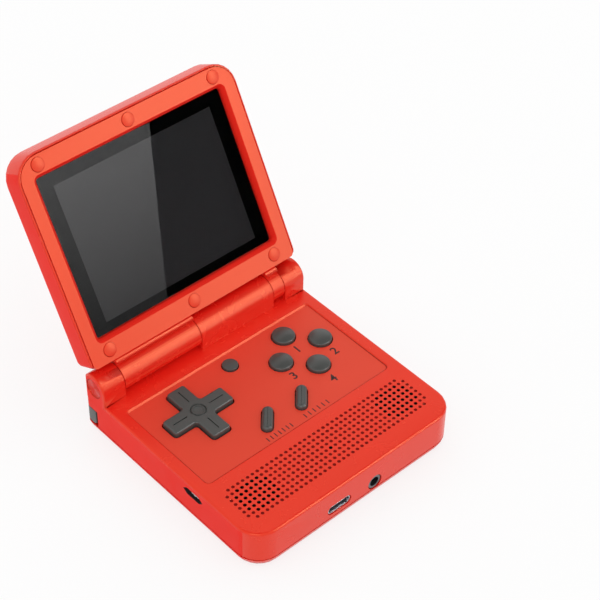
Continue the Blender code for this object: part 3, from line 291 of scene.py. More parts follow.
def metalFinish(name, colour, roughness, stretch=(60.0, 60.0, 1600.0), bump=0.00001):
    made, tree, shader = newMaterial(name, colour, roughness, Metallic=1.0)
    coords = addNode(tree, "ShaderNodeTexCoord", (-1300, 0)).outputs["Object"]
    turn = addNode(tree, "ShaderNodeMapping", (-1100, 0))
    turn.inputs["Scale"].default_value = stretch
    tree.links.new(coords, turn.inputs["Vector"])
    lines = addNode(tree, "ShaderNodeTexNoise", (-850, 0), Scale=1.0, Detail=4.0)
    tree.links.new(turn.outputs["Vector"], lines.inputs["Vector"])
    uneven = spread(tree, lines.outputs["Fac"], roughness - 0.1, roughness + 0.12)
    tree.links.new(uneven, shader.inputs["Roughness"])
    relief = addNode(tree, "ShaderNodeBump", (-300, -200), Strength=0.6)
    relief.inputs["Distance"].default_value = bump
    tree.links.new(lines.outputs["Fac"], relief.inputs["Height"])
    tree.links.new(relief.outputs["Normal"], shader.inputs["Normal"])
    return made


board = {"lacquer": (0.010, 0.090, 0.035), "patches": (0.012, 0.110, 0.045), "tracks": (0.020, 0.160, 0.070),
         "roughness": 0.42, "scale": 260.0, "trackWidth": 0.08, "relief": 0.00003}


def boardFinish():
    made, tree, shader = newMaterial("circuitBoard", board["lacquer"], board["roughness"])
    coords = addNode(tree, "ShaderNodeTexCoord", (-1300, 0)).outputs["Object"]
    tracks = addNode(tree, "ShaderNodeTexBrick", (-800, 0), Scale=board["scale"], Color1=(*board["lacquer"], 1),
                     Color2=(*board["patches"], 1), Mortar=(*board["tracks"], 1), Mortar_Size=board["trackWidth"])
    tree.links.new(coords, tracks.inputs["Vector"])
    tree.links.new(tracks.outputs["Color"], shader.inputs["Base Color"])
    relief = addNode(tree, "ShaderNodeBump", (-400, -200))
    relief.inputs["Distance"].default_value = board["relief"]
    tree.links.new(tracks.outputs["Fac"], relief.inputs["Height"])
    tree.links.new(relief.outputs["Normal"], shader.inputs["Normal"])
    return made


# What a user would change first: the colours and finishes
warmGlint = (1.0, 0.46, 0.23, 1.0)
gloss = {"Specular_IOR_Level": 1.0, "Specular_Tint": warmGlint}
underGlass = {"roughness": 0.60, "grainDepth": 0.0, "Specular_IOR_Level": 0.0, "Coat_Weight": 1.0,
              "Coat_Roughness": 0.0}
finishes = {
    "shellPlastic": {"colour": (0.860, 0.018, 0.010), "roughness": 0.27, "spreadOut": 0.008, **gloss},
    # a paler copy of the red with much weaker reflection, for faces that point sideways: painted dim reflection
    "paintedDimReflection": {"colour": (0.900, 0.020, 0.012), "roughness": 0.50, "Specular_IOR_Level": 0.20,
                    "Specular_Tint": warmGlint},
    "panelPlastic": {"colour": (0.820, 0.046, 0.027), "roughness": 0.44, "spreadOut": 0.02, **gloss},
    "lidPlastic": {"colour": (0.860, 0.018, 0.010), "roughness": 0.27, "spreadOut": 0.008, **gloss},
    # a more orange copy of the same red for the bezel's front, the strip under it and the screw pads: painted light
    "paintedLighterRed": {"colour": (0.860, 0.032, 0.015), "roughness": 0.32, "spreadOut": 0.008, **gloss},
    "capPlastic": {"colour": (0.720, 0.016, 0.010), "roughness": 0.24, "spreadOut": 0.02,
                   "Specular_IOR_Level": 0.35, "Specular_Tint": warmGlint},
    "keyPlastic": {"colour": (0.072, 0.076, 0.071), "roughness": 0.36, "grainScale": 3200.0,
                   "grainDepth": 0.06},
    # the wheel's grey is written about seven times paler than the part: painted light against the shade of its slot
    "wheelPlastic": {"colour": (0.480, 0.530, 0.530), "roughness": 0.40},
    # dark red painted shade for the grille's pits and the small fillet round the panel's recess
    "paintedHollowShade": {"colour": (0.300, 0.010, 0.006), "roughness": 0.60, "Specular_IOR_Level": 0.10},
    "printedInk": {"colour": (0.050, 0.010, 0.008), "roughness": 0.60},
    # black for the hidden black parts, and painted shade on the walls of the grille's through holes and of the
    # wheel slot
    "blackPlasticAndPaintedShade": {"colour": (0.010, 0.010, 0.011), "roughness": 0.50},
    "displayFace": {"colour": (0.024, 0.024, 0.025), "Coat_IOR": 1.65, **underGlass},
    "borderInk": {"colour": (0.0008, 0.0008, 0.0008), "Coat_IOR": 1.5, **underGlass},
    "membraneRubber": {"colour": (0.26, 0.27, 0.28), "roughness": 0.75, "grainScale": 1500.0},
    "batteryWrap": {"colour": (0.10, 0.11, 0.13), "roughness": 0.55},
}
looks = {name: mouldedPlastic(name, **finish) for name, finish in finishes.items()}
metals = {"pressedSteel": ((0.56, 0.57, 0.60), 0.30), "platedMetal": ((0.16, 0.165, 0.175), 0.32),
          "screwSteel": ((0.50, 0.50, 0.52), 0.34)}
looks.update((name, metalFinish(name, *metal)) for name, metal in metals.items())
looks["circuitBoard"] = boardFinish()

# The inside pieces keep their own solids and only get a finish
hiddenLooks = {
    "batteryWrap": ("battery",),
    "circuitBoard": ("main_board", "left_trigger_board", "right_trigger_board"),
    "membraneRubber": ("dpad_membrane", "action_membrane", "menu_membrane", "select_start_membrane"),
    "blackPlasticAndPaintedShade": ("left_speaker", "right_speaker", "volume_control_body", "dpad_fulcrum", "lcd_module"),
    "pressedSteel": ("power_switch_case", "card_socket", "hinge_pin"),
    "platedMetal": ("hinge_cartridge",),
    "screwSteel": ["lid_screw_%d" % index for index in range(1, 7)],
}
for look, names in hiddenLooks.items():
    for name in names:
        nodes[name].data.materials.clear()
        nodes[name].data.materials.append(looks[look])
print("console: materials built")

# Base shell with its speaker grille: through holes over the speakers, shallow pits in the field around them
grille = {"columns": 39, "rows": 8, "pitch": 0.00192, "frontRow": -0.03354, "microphone": (19, 4),
          "patchColumns": (1, 7), "patchRows": (1, 6), "holeRadius": 0.00060, "holeReach": 0.003, "holeSides": 14,
          "pitRadius": 0.00056, "pitDepth": 0.00055, "pitSides": 12, "flare": 0.00008,
          "halfWidth": 0.0375, "front": -0.0345, "back": -0.0190}
panel = {"halfWidth": 0.0378, "front": -0.0148, "back": 0.0250, "seam": 0.00018, "seamHalfWidth": 0.0366,
         "seamFront": -0.0136, "seamBack": 0.0240}
shellTrim = {"footFillet": 0.00038, "footSegments": 2, "lobeInside": 0.033, "holeShadeTop": 0.01465,
             "sideFacing": 0.96, "sideFrom": 0.0400, "wheelSlot": (-0.0401, -0.0169, -0.0079, 0.0097, 0.0125)}


def finishFaces(mesh, choose):
    for face in mesh.polygons:
        face.material_index = choose(*face.center, face.normal)


def goesThrough(column, row):
    inner = min(column, grille["columns"] - 1 - column)
    ends, sides = grille["patchColumns"], grille["patchRows"]
    onPatch = ends[0] <= inner <= ends[1] and sides[0] <= row <= sides[1]
    return (onPatch and not (inner in ends and row in sides)) or (column, row) == grille["microphone"]


def inHole(x, y):
    column = x / grille["pitch"] + (grille["columns"] - 1) / 2
    row = grille["rows"] - 1 - (y - grille["frontRow"]) / grille["pitch"]
    near = math.hypot(column - round(column), row - round(row)) * grille["pitch"]
    return near < grille["holeRadius"] * 1.2 and goesThrough(round(column), round(row))


def grilleTools():
    flare, hole, reach = grille["flare"], grille["holeRadius"], grille["holeReach"]
    pit, depth = grille["pitRadius"], grille["pitDepth"]
    profiles = {True: [(0, -reach), (hole, -reach), (hole, -flare), (hole + 3 * flare, 2 * flare), (0, 2 * flare)],
                False: [(0, -depth), (pit * 0.6, -depth * 0.93), (pit * 0.9, -depth * 0.6), (pit, -flare),
                        (pit + 3 * flare, 2 * flare), (0, 2 * flare)]}
    tools = bmesh.new()
    for through, profile in profiles.items():
        single = bmesh.new()
        spun(single, profile, grille["holeSides"] if through else grille["pitSides"])
        shape = meshFrom(single, "hole")
        for column in range(grille["columns"]):
            for row in range(grille["rows"]):
                corner = column in (0, grille["columns"] - 1) and row in (0, grille["rows"] - 1)
                if corner or goesThrough(column, row) != through:
                    continue
                before = len(tools.verts)
                tools.from_mesh(shape)
                tools.verts.ensure_lookup_table()
                x = (column - (grille["columns"] - 1) / 2) * grille["pitch"]
                y = grille["frontRow"] + (grille["rows"] - 1 - row) * grille["pitch"]
                bmesh.ops.translate(tools, verts=tools.verts[before:], vec=(x, y, body["deckTop"]))
        bpy.data.meshes.remove(shape)
    return tools


def onSeam(point):
    return (abs(point.z - body["panelTop"]) < sameLevel and point.y < panel["seamBack"]
            and (abs(point.x) > panel["seamHalfWidth"] or point.y < panel["seamFront"]))


def onLobeFoot(point):
    return (abs(point.z - body["deckTop"]) < sameLevel and abs(point.x) > shellTrim["lobeInside"]
            and abs(point.y - hinge["y"] + hinge["radius"]) < sameLevel)


shellLooks = ("shellPlastic", "panelPlastic", "blackPlasticAndPaintedShade", "paintedDimReflection", "paintedHollowShade")


def shellFinish(x, y, z, normal):
    slotX, slotFront, slotBack, slotLow, slotHigh = shellTrim["wheelSlot"]
    onPanel = abs(x) < panel["halfWidth"] and panel["front"] < y < panel["back"]
    onGrille = abs(x) < grille["halfWidth"] and grille["front"] < y < grille["back"]
    pitFloor = body["deckTop"] - grille["pitDepth"] - 0.0001
    if onPanel and abs(z - body["panelTop"]) < sameLevel and normal.z > 0.99:
        look = "panelPlastic"
    # the fillet at the foot of the panel's recess is painted dark: painted shade in the crease
    elif onPanel and 0.3 < normal.z < 0.97 and z < body["panelTop"] + panel["seam"]:
        look = "paintedHollowShade"
    # the walls of the through holes are painted black: painted shade
    elif onGrille and body["deckUnder"] < z < shellTrim["holeShadeTop"] and abs(normal.z) < 0.5 and inHole(x, y):
        look = "blackPlasticAndPaintedShade"
    # the pits are painted dark: painted shade in the hollows
    elif onGrille and pitFloor < z < body["deckTop"] - 0.00005 and not inHole(x, y):
        look = "paintedHollowShade"
    # the wheel slot's walls are painted black: painted shade
    elif x < slotX and slotFront < y < slotBack and slotLow < z < slotHigh and abs(normal.x) < 0.5:
        look = "blackPlasticAndPaintedShade"
    # faces that point sideways take the copy with painted dim reflection
    elif abs(normal.x) > shellTrim["sideFacing"] and abs(x) > shellTrim["sideFrom"]:
        look = "paintedDimReflection"
    else:
        look = "shellPlastic"
    return shellLooks.index(look)


def buildBaseShell():
    form = copiedForm("base_top_shell")
    inner = [edge for edge in form.edges if not edge.is_convex and edge.calc_face_angle(0) > math.radians(25)]
    softenEdges(form, [edge for edge in inner if all(onSeam(point.co) for point in edge.verts)], panel["seam"], 1)
    foot = [edge for edge in form.edges if all(onLobeFoot(point.co) for point in edge.verts)]
    softenEdges(form, foot, shellTrim["footFillet"], shellTrim["footSegments"])
    done = carve(form, grilleTools(), "baseShell")
    dressPiece(done, "baseShell", "base", [looks[name] for name in shellLooks], replaces=["base_top_shell"],
               slot="shell", sharp=48)
    finishFaces(done, shellFinish)


buildBaseShell()
print("console: base shell and grille")


def refined(nodeName, pieceName, rider, look, slot, sharp=40, soften=0.0, choose=None):
    form = copiedForm(nodeName)
    if soften:
        outer = [edge for edge in form.edges if edge.is_convex and edge.calc_face_angle(0) > math.radians(35)]
        softenEdges(form, outer, soften, 2)
    made = [looks[name] for name in (look if isinstance(look, tuple) else (look,))]
    piece = makePiece(form, pieceName, rider, made, replaces=[nodeName], slot=slot, sharp=sharp)
    if choose:
        finishFaces(piece.data, choose)


# Which faces of the lid and the bottom shell take a painted copy of the red: sideways faces the copy with painted
# dim reflection, the strip under the bezel the painted lighter copy
lidTrim = {"sideFacing": 0.90, "sideFrom": 0.0385, "frontFacing": 0.85, "stripDepth": 0.0046, "stripReach": 0.0060,
           "bezelFacing": 0.97}
intoLid = lidPlace.inverted()
lidTurn = intoLid.to_3x3()


def sideways(x, y, z, normal):
    return 1 if abs(normal.x) > lidTrim["sideFacing"] and abs(x) > lidTrim["sideFrom"] else 0


def lidCoverFinish(x, y, z, normal):
    place, facing = intoLid @ Vector((x, y, z)), lidTurn @ normal
    if facing.z > lidTrim["frontFacing"] and place.z < lidTrim["stripDepth"] and place.y < lidTrim["stripReach"]:
        return 2
    return sideways(x, y, z, normal)


# the bezel's front takes the painted lighter copy, its other faces the copy with painted dim reflection
def bezelFinish(x, y, z, normal):
    return 0 if (lidTurn @ normal).z > lidTrim["bezelFacing"] else 1


# Raised bead along the back of the panel
ridge = {"left": -0.0381, "right": 0.0370, "front": 0.02445, "back": 0.02535, "foot": 0.01420, "top": 0.01486,
         "flat": 0.00025, "edge": 0.00010}


def buildRidge():
    form = bmesh.new()
    front, back, foot, top, edge = (ridge[name] for name in ("front", "back", "foot", "top", "edge"))
    section = [form.verts.new((ridge["left"], along, height)) for along, height in
               ((front, foot), (front + edge, foot + edge), (back - ridge["flat"], top), (back, top - edge),
                (back + edge, foot))]
    grown = bmesh.ops.extrude_face_region(form, geom=[form.faces.new(section)])["geom"]
    bmesh.ops.translate(form, verts=[item for item in grown if isinstance(item, bmesh.types.BMVert)],
                        vec=(ridge["right"] - ridge["left"], 0, 0))
    bmesh.ops.recalc_face_normals(form, faces=form.faces)
    softenEdges(form, [rim for rim in form.edges if rim.calc_face_angle(0) > math.radians(30)], edge, 2)
    makePiece(form, "deckRidge", "base", looks["shellPlastic"], slot="shell", sharp=50)


buildRidge()
refined("base_bottom_shell", "bottomShell", "base", ("shellPlastic", "paintedDimReflection"), "shell", 45, choose=sideways)
refined("battery_door", "batteryDoor", "base", "shellPlastic", "shell", 40, 0.0002)
refined("lid_rear_cover", "lidCover", "lid", ("lidPlastic", "paintedDimReflection", "paintedLighterRed"), "shell", 48,
        choose=lidCoverFinish)
refined("lid_bezel", "lidBezel", "lid", ("paintedLighterRed", "paintedDimReflection"), "bezel", 40, choose=bezelFinish)
for side in ("left", "right"):
    outerKey, innerKey = side + "_shoulder_button", side + "_inner_shoulder_button"
    refined(outerKey, side + "ShoulderKey", outerKey, "keyPlastic", "control", 40, 0.0003)
    refined(innerKey, side + "InnerShoulderKey", innerKey, "keyPlastic", "control")
refined("power_switch_knob", "powerKnob", "power_switch_knob", "keyPlastic", "control")
refined("volume_wheel", "volumeWheel", "volume_wheel", "wheelPlastic", "control", 30)
refined("usb_socket", "usbShell", "base", "pressedSteel", "port_steel")
refined("headphone_jack", "jackShell", "base", "platedMetal", "jack_metal")
for index in range(1, 5):
    refined("base_screw_%d" % index, "baseScrew%d" % index, "base", "screwSteel", "screw_steel")
print("console: shells, keys and ports")

# Round keys: a crowned cap, a flange that keeps it under the deck, and a plunger down to the membrane
roundKeys = {"names": ("button_top", "button_right", "button_bottom", "button_left"), "radius": 0.00390,
             "rise": 0.0013, "crown": 0.00062, "edge": 0.00055, "plunger": 0.0020, "steps": 56}
menuKey = {"names": ("menu_button",), "radius": 0.0026, "rise": 0.0005, "crown": 0.00022, "edge": 0.00016,
           "plunger": 0.0013, "steps": 48}
flange = {"top": body["deckUnder"] - body["clearance"], "reach": 0.0009, "thick": 0.0009}
crownSteps, rimSteps = 7, 5


def buildRoundKey(name, spec):
    centre, foot = middle(name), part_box(name)[0].z
    top, low = body["deckTop"] + spec["rise"], flange["top"] - flange["thick"]
    radius, edge, crown = spec["radius"], spec["edge"], spec["crown"]
    profile = [((radius - edge) * step / crownSteps, top - crown * (step / crownSteps) ** 2)
               for step in range(crownSteps + 1)]
    for step in range(1, rimSteps + 1):
        angle = math.pi / 2 * step / rimSteps
        profile.append((radius - edge * (1 - math.sin(angle)), top - crown - edge * (1 - math.cos(angle))))
    profile += [(radius, flange["top"]), (radius + flange["reach"], flange["top"]), (radius + flange["reach"], low),
                (spec["plunger"], low), (spec["plunger"], foot), (0, foot)]
    form = bmesh.new()
    spun(form, profile, spec["steps"])
    makePiece(form, "key_" + name, name, looks["keyPlastic"], Matrix.Translation((centre.x, centre.y, 0)),
              replaces=[name], slot="control", sharp=42)


for spec in (roundKeys, menuKey):
    for name in spec["names"]:
        buildRoundKey(name, spec)

# Slanted keys
pillKeys = {"names": ("select_button", "start_button"), "length": 0.0100, "width": 0.0036, "turn": 47.8,
            "rise": 0.0012, "round": 0.0011, "plunger": 0.0013, "steps": 10}


def buildPillKey(name):
    form = bmesh.new()
    centre, foot = middle(name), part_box(name)[0].z
    top, width, length = body["deckTop"] + pillKeys["rise"], pillKeys["width"], pillKeys["length"]
    block(form, (length, width, top - flange["top"]), (0, 0, (top + flange["top"]) / 2), width * 0.499,
          pillKeys["steps"])
    softenEdges(form, rimAt(form, top), pillKeys["round"], 6)
    block(form, (length + 2 * flange["reach"], width + 2 * flange["reach"], flange["thick"]),
          (0, 0, flange["top"] - flange["thick"] / 2), width * 0.6, 8)
    plunger = pillKeys["plunger"]
    spun(form, [(0, flange["top"]), (plunger, flange["top"]), (plunger, foot), (0, foot)], 20)
    makePiece(form, "key_" + name, name, looks["keyPlastic"],
              Matrix.Translation((centre.x, centre.y, 0)) @ Matrix.Rotation(math.radians(pillKeys["turn"]), 4, "Z"),
              replaces=[name], slot="control", sharp=42)


for name in pillKeys["names"]:
    buildPillKey(name)
print("console: round and slanted keys")

# Control cross: a dish in the middle with a groove round it, and a line along each arm
cross = {"reach": 0.0117, "arm": 0.0068, "outer": 0.0009, "inner": 0.0011, "rise": 0.0012, "edge": 0.00060,
         "dish": 0.0021, "dishDepth": 0.00040, "ring": 0.00060, "ringDepth": 0.00045, "mark": 0.0054,
         "markWidth": 0.00042, "markDepth": 0.0004, "flangeDrop": 0.0011, "flangeThick": 0.0010,
         "flangeReach": 0.0010, "clear": 0.001}


def crossOutline(top, flangeTop):
    form = bmesh.new()
    half, reach = cross["arm"] / 2, cross["reach"]
    block(form, (2 * half, 2 * half, top - flangeTop), (0, 0, (top + flangeTop) / 2))
    for face in [face for face in form.faces if abs(face.normal.z) < 0.5]:
        arm = bmesh.ops.extrude_discrete_faces(form, faces=[face])["faces"][0]
        bmesh.ops.translate(form, verts=arm.verts, vec=arm.normal * (reach - half))

    def upright(edge):
        return abs(edge.verts[0].co.z - edge.verts[1].co.z) > 0.001

    tips = [edge for edge in form.edges if upright(edge)
            and max(abs(edge.verts[0].co.x), abs(edge.verts[0].co.y)) > half * 1.5]
    softenEdges(form, tips, cross["outer"], 5)
    corners = [edge for edge in form.edges if upright(edge) and abs(abs(edge.verts[0].co.x) - half) < sameSpot
               and abs(abs(edge.verts[0].co.y) - half) < sameSpot]
    softenEdges(form, corners, cross["inner"], 5)
    softenEdges(form, rimAt(form, top, 60), cross["edge"], 4)
    return form


def crossTools(top):
    tools = bmesh.new()
    dish, ring, dishDepth, ringDepth = (cross[name] for name in ("dish", "ring", "dishDepth", "ringDepth"))
    above = top + cross["clear"]
    spun(tools, [(0, top - dishDepth), (dish * 0.80, top - dishDepth * 0.75), (dish - ring / 2, top - 0.00006),
                 (dish - ring / 2, above), (0, above)], 48)
    spun(tools, [(dish, above), (dish, top - ringDepth * 2 / 3), (dish + ring / 2, top - ringDepth),
                 (dish + ring, top - 0.00010), (dish + ring, above), (dish, above)], 48)
    distance = (cross["reach"] + dish + ring) / 2
    for quarter in range(4):
        angle = math.pi / 2 * quarter
        block(tools, (cross["mark"], cross["markWidth"], 2 * cross["markDepth"]),
              (distance * math.cos(angle), distance * math.sin(angle), top), turn=angle)
    return tools


def buildCross():
    top, flangeTop = body["deckTop"] + cross["rise"], body["deckUnder"] - cross["flangeDrop"]
    mesh = carve(crossOutline(top, flangeTop), crossTools(top), "controlCross")
    form = bmesh.new()
    form.from_mesh(mesh)
    low = flangeTop - cross["flangeThick"]
    long, wide = 2 * (cross["reach"] + cross["flangeReach"]), cross["arm"] + 2 * cross["flangeReach"]
    for size in ((long, wide, 0.001), (wide, long, 0.00098)):
        block(form, size, (0, 0, (low + flangeTop) / 2))
    centre = middle("dpad")
    makePiece(form, "controlCross", "dpad", looks["keyPlastic"], Matrix.Translation((centre.x, centre.y, 0)),
              replaces=["dpad"], slot="control", sharp=42)


buildCross()
print("console: control cross")

# Screen: glass over a black printed border and the display
screen = {"width": 0.0716, "low": 0.0144, "high": 0.0687, "corner": 0.0010, "front": 0.0030, "thick": 0.0010,
          "viewHalf": 0.03048, "viewLow": 0.0178, "viewHigh": 0.0641, "ink": 0.00015}


def glassFinish():
    made, tree, shader = newMaterial("screenGlass", (0.97, 0.97, 0.97), 0.0, IOR=1.01, Transmission_Weight=1.0)
    coords = addNode(tree, "ShaderNodeTexCoord", (-1000, 0)).outputs["Object"]
    smear = addNode(tree, "ShaderNodeTexNoise", (-700, 0), Scale=60.0, Detail=3.0)
    tree.links.new(coords, smear.inputs["Vector"])
    tree.links.new(spread(tree, smear.outputs["Fac"], 0.96, 0.98), shader.inputs["Base Color"])
    return made


def buildScreen():
    width = screen["width"] - 2 * body["clearance"]
    low, high = screen["low"] + body["clearance"], screen["high"] - body["clearance"]
    front, back, ink = screen["front"], screen["front"] - screen["thick"], screen["ink"]
    across = (low + high) / 2
    glass = bmesh.new()
    block(glass, (width, high - low, front - back - 2 * ink), (0, across, (front + back) / 2 + ink),
          screen["corner"])
    softenEdges(glass, rimAt(glass, front), 0.0001, 2)
    lens = makePiece(glass, "screenLens", "lid", glassFinish(), lidPlace, replaces=["screen_lens"], slot="lens")
    lens.visible_shadow = False
    display = bmesh.new()
    block(display, (width, high - low, ink), (0, across, back + ink / 2), screen["corner"])
    makePiece(display, "displayFace", "lid", looks["displayFace"], lidPlace, slot="display")
    border = bmesh.new()
    block(border, (width, high - low, 0.5 * ink), (0, across, back + 1.35 * ink), screen["corner"])
    half = screen["viewHalf"]
    cuts = [((side * half, 0, 0), (1, 0, 0)) for side in (-1, 1)]
    cuts += [((0, screen[end], 0), (0, 1, 0)) for end in ("viewLow", "viewHigh")]
    for point, normal in cuts:
        bmesh.ops.bisect_plane(border, geom=border.verts[:] + border.edges[:] + border.faces[:], plane_co=point,
                               plane_no=normal)
    window = [face for face in border.faces if abs(face.normal.z) > 0.9 and abs(face.calc_center_median().x) < half
              and screen["viewLow"] < face.calc_center_median().y < screen["viewHigh"]]
    bmesh.ops.delete(border, geom=window, context="FACES_ONLY")
    bmesh.ops.bridge_loops(border, edges=[edge for edge in border.edges if edge.is_boundary])
    bmesh.ops.recalc_face_normals(border, faces=border.faces)
    makePiece(border, "screenBorder", "lid", looks["borderInk"], lidPlace, slot="lens", even=False)


buildScreen()
print("console: screen")

# Round pads over the lid screws, and the caps at the hinge's ends
covers = {"radius": 0.00226, "proud": 0.00014, "edge": 0.00016, "thick": 0.0009, "shift": 0.00010}
caps = {"radius": 0.0033, "thick": 0.0012, "sink": 0.0003, "ripples": 9, "ripple": 0.000040, "steps": 72}
for index in range(1, 7):
    name = "screw_cover_%d" % index
    place = intoLid @ middle(name)
    top = hinge["bezelFront"] + covers["proud"]
    radius, edge = covers["radius"], covers["edge"]
    form = bmesh.new()
    spun(form, [(0, top), (radius - edge, top), (radius - edge * 0.3, top - edge * 0.3), (radius, top - edge),
                (radius, top - covers["thick"]), (0, top - covers["thick"])], 48)
    makePiece(form, "screwPad%d" % index, "lid", looks["paintedLighterRed"],
              lidPlace @ Matrix.Translation((place.x + covers["shift"], place.y, 0)), replaces=[name],
              slot="bezel", sharp=30)

for side, name in ((-1, "left"), (1, "right")):
    face = body["halfWidth"] - caps["sink"]
    radius, steps = caps["radius"], caps["ripples"] * 4
    profile = [(radius * 0.94 * step / steps, face - caps["ripple"] * (1 + math.sin(math.pi / 2 * step)))
               for step in range(steps + 1)]
    profile += [(radius * 0.97, face), (radius, face - 0.0001), (radius, face - caps["thick"]),
                (0, face - caps["thick"])]
    form = bmesh.new()
    spun(form, profile, caps["steps"])
    matrix = Matrix.Translation((0, hinge["y"], hinge["z"])) @ Matrix.Rotation(side * math.pi / 2, 4, "Y")
    makePiece(form, name + "HingeCap", "base", looks["capPlastic"], matrix, replaces=[name + "_hinge_cap"],
              slot="shell", sharp=60)
print("console: pads and caps")

# Marks printed on the panel: plain numbers by the round keys and rows of ticks by the slanted ones
marks = {"numbers": (("1", 0.0212, 0.0110), ("2", 0.0298, 0.0025), ("3", 0.0124, 0.0028), ("4", 0.0211, -0.0063)),
         "size": 0.0044, "bold": 0.00007, "rows": ((-0.0128, -0.0016, 7), (0.0024, 0.0137, 6)), "rowY": -0.0125,
         "tick": 0.0018, "tickWidth": 0.00032, "ink": 0.00002, "lift": 0.000002}
inkMiddle = body["panelTop"] + marks["ink"] / 2 + marks["lift"]
for text, x, y in marks["numbers"]:
    curve = bpy.data.curves.new("number" + text, "FONT")
    curve.body = text
    curve.size = marks["size"]
    curve.align_x = "CENTER"
    curve.align_y = "CENTER"
    curve.extrude = marks["ink"] / 2
    curve.offset = marks["bold"]
    written = bpy.data.objects.new("number" + text, curve)
    scene.collection.objects.link(written)
    bpy.context.view_layer.update()
    mesh = bpy.data.meshes.new_from_object(written.evaluated_get(bpy.context.evaluated_depsgraph_get()))
    bpy.data.objects.remove(written)
    mesh.transform(Matrix.Translation((x, y, inkMiddle)))
    dressPiece(mesh, "keyNumber" + text, "base", looks["printedInk"], even=False)
for index, (start, end, count) in enumerate(marks["rows"]):
    form = bmesh.new()
    for step in range(count):
        block(form, (marks["tickWidth"], marks["tick"], marks["ink"]),
              (start + (end - start) * (step + 0.5) / count, marks["rowY"], inkMiddle))
    makePiece(form, "panelTicks%d" % (index + 1), "base", looks["printedInk"], even=False)
print("console: marks")

# Studio: a pale floor, a white world, and two lamps that only give the plastic its highlights
studio = {"aim": (0, 0.01, 0.03), "floorSize": 6.0, "floorLight": 0.84, "floorSeen": 0.22, "floorGlow": 0.78,
          "worldLevel": 0.95,
          "strips": (("rightStrip", (0.55, -0.78, 0.55), (0.42, 1.6), 7.8),
                     ("leftStrip", (-0.75, -0.52, 0.52), (0.50, 0.5), 2.2))}


def whereSeen(tree):
    rays = addNode(tree, "ShaderNodeLightPath", (-600, 450)).outputs
    shown = mathNode(tree, "MAXIMUM", rays["Is Camera Ray"], rays["Is Glossy Ray"])
    return mathNode(tree, "MAXIMUM", shown, rays["Is Transmission Ray"])


def buildFloor():
    form = bmesh.new()
    bmesh.ops.create_grid(form, x_segments=2, y_segments=2, size=studio["floorSize"] / 2)
    floor = bpy.data.objects.new("floor", meshFrom(form, "floor"))
    scene.collection.objects.link(floor)
    made = bpy.data.materials.new("floor")
    made.use_nodes = True
    tree = made.node_tree
    tree.nodes.clear()
    out = addNode(tree, "ShaderNodeOutputMaterial", (600, 0))
    plain = addNode(tree, "ShaderNodeBsdfDiffuse", (-200, 200), Color=(*[studio["floorLight"]] * 3, 1))
    seen = addNode(tree, "ShaderNodeBsdfDiffuse", (-200, 0), Color=(*[studio["floorSeen"]] * 3, 1))
    glow = addNode(tree, "ShaderNodeEmission", (-200, -200), Strength=studio["floorGlow"])
    both = addNode(tree, "ShaderNodeAddShader", (100, -100))
    choose = addNode(tree, "ShaderNodeMixShader", (350, 0))
    tree.links.new(seen.outputs[0], both.inputs[0])
    tree.links.new(glow.outputs[0], both.inputs[1])
    tree.links.new(whereSeen(tree), choose.inputs[0])
    tree.links.new(plain.outputs[0], choose.inputs[1])
    tree.links.new(both.outputs[0], choose.inputs[2])
    tree.links.new(choose.outputs[0], out.inputs["Surface"])
    floor.data.materials.append(made)


def buildWorld():
    world = bpy.data.worlds.new("studio")
    scene.world = world
    world.use_nodes = True
    tree = world.node_tree
    tree.nodes.clear()
    out = addNode(tree, "ShaderNodeOutputWorld", (600, 0))
    plain = addNode(tree, "ShaderNodeBackground", (0, 100), Strength=studio["worldLevel"], Color=(1, 1, 1, 1))
    white = addNode(tree, "ShaderNodeBackground", (0, -100), Strength=1.0, Color=(1, 1, 1, 1))
    mix = addNode(tree, "ShaderNodeMixShader", (300, 0))
    tree.links.new(whereSeen(tree), mix.inputs["Fac"])
    tree.links.new(plain.outputs[0], mix.inputs[1])
    tree.links.new(white.outputs[0], mix.inputs[2])
    tree.links.new(mix.outputs[0], out.inputs["Surface"])


def buildStrip(name, place, size, power):
    lamp = bpy.data.lights.new(name, "AREA")
    lamp.shape = "RECTANGLE"
    lamp.size, lamp.size_y = size
    lamp.energy = power
    lamp.cycles.use_multiple_importance_sampling = False
    holder = bpy.data.objects.new(name, lamp)
    scene.collection.objects.link(holder)
    holder.visible_diffuse = False
    holder.location = place
    holder.rotation_euler = (Vector(studio["aim"]) - Vector(place)).to_track_quat("-Z", "Y").to_euler()


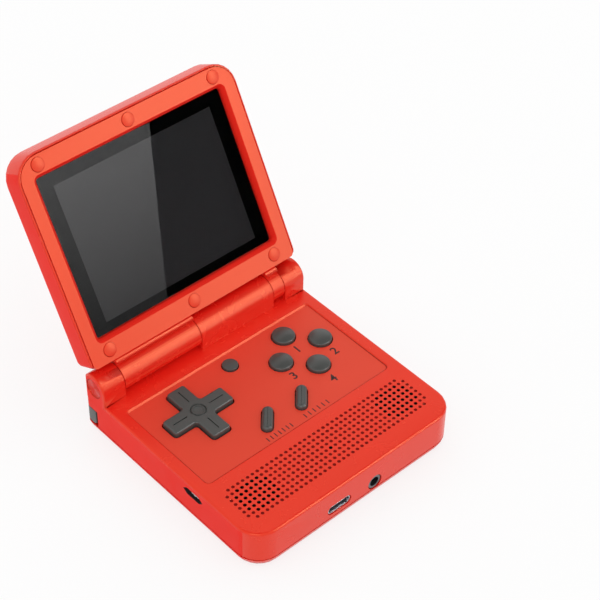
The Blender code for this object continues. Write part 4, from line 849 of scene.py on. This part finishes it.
# Black cards round the console, as a studio uses them, and one card that glows by itself, brighter towards its top:
# only reflections see them
card = {"facing": (0.46218, -0.86963, 0.17357), "edgeTop": (0.16193, -0.21058, 0.14896),
        "edgeFoot": (0.13249, -0.24129, 0.0735), "size": (0.11, 0.125, 0.001), "glow": (0.32, 1.55),
        "glowHeights": (0.070, 0.158), "flagPlace": (0.65, 0.02, 1.0), "flagSize": (2.4, 0.75, 0.001)}


def buildCard(name, size, place, glow):
    form = bmesh.new()
    block(form, size, (0, 0, 0))
    bmesh.ops.transform(form, matrix=place, verts=form.verts)
    made = bpy.data.objects.new(name, meshFrom(form, name))
    scene.collection.objects.link(made)
    for kind in ("visible_camera", "visible_diffuse", "visible_shadow"):
        setattr(made, kind, False)
    look = bpy.data.materials.new(name)
    look.use_nodes = True
    tree = look.node_tree
    tree.nodes.clear()
    out = addNode(tree, "ShaderNodeOutputMaterial", (400, 0))
    light = addNode(tree, "ShaderNodeEmission", (100, 0), Strength=0.0)
    if glow:
        coords = addNode(tree, "ShaderNodeTexCoord", (-900, 0)).outputs["Object"]
        height = addNode(tree, "ShaderNodeSeparateXYZ", (-500, 0))
        tree.links.new(coords, height.inputs[0])
        tree.links.new(spread(tree, height.outputs["Z"], *glow, *card["glowHeights"]), light.inputs["Strength"])
    tree.links.new(light.outputs[0], out.inputs["Surface"])
    made.data.materials.append(look)


top, foot, facing = (Vector(card[name]) for name in ("edgeTop", "edgeFoot", "facing"))
up = (top - foot).normalized()
across = up.cross(facing).normalized()
for name, side, glow in (("darkCard", 0.5, None), ("glowingCard", -0.5, card["glow"])):
    centre = (top + foot) / 2 + across * side * card["size"][0]
    buildCard(name, card["size"], Matrix([(across[axis], up[axis], facing[axis], centre[axis]) for axis in range(3)]
                                         + [(0, 0, 0, 1)]), glow)
buildCard("topFlag", card["flagSize"], Matrix.Translation(card["flagPlace"]), None)
buildFloor()
buildWorld()
for strip in studio["strips"]:
    buildStrip(*strip)
scene.view_settings.view_transform = "Standard"
print("console: studio set")
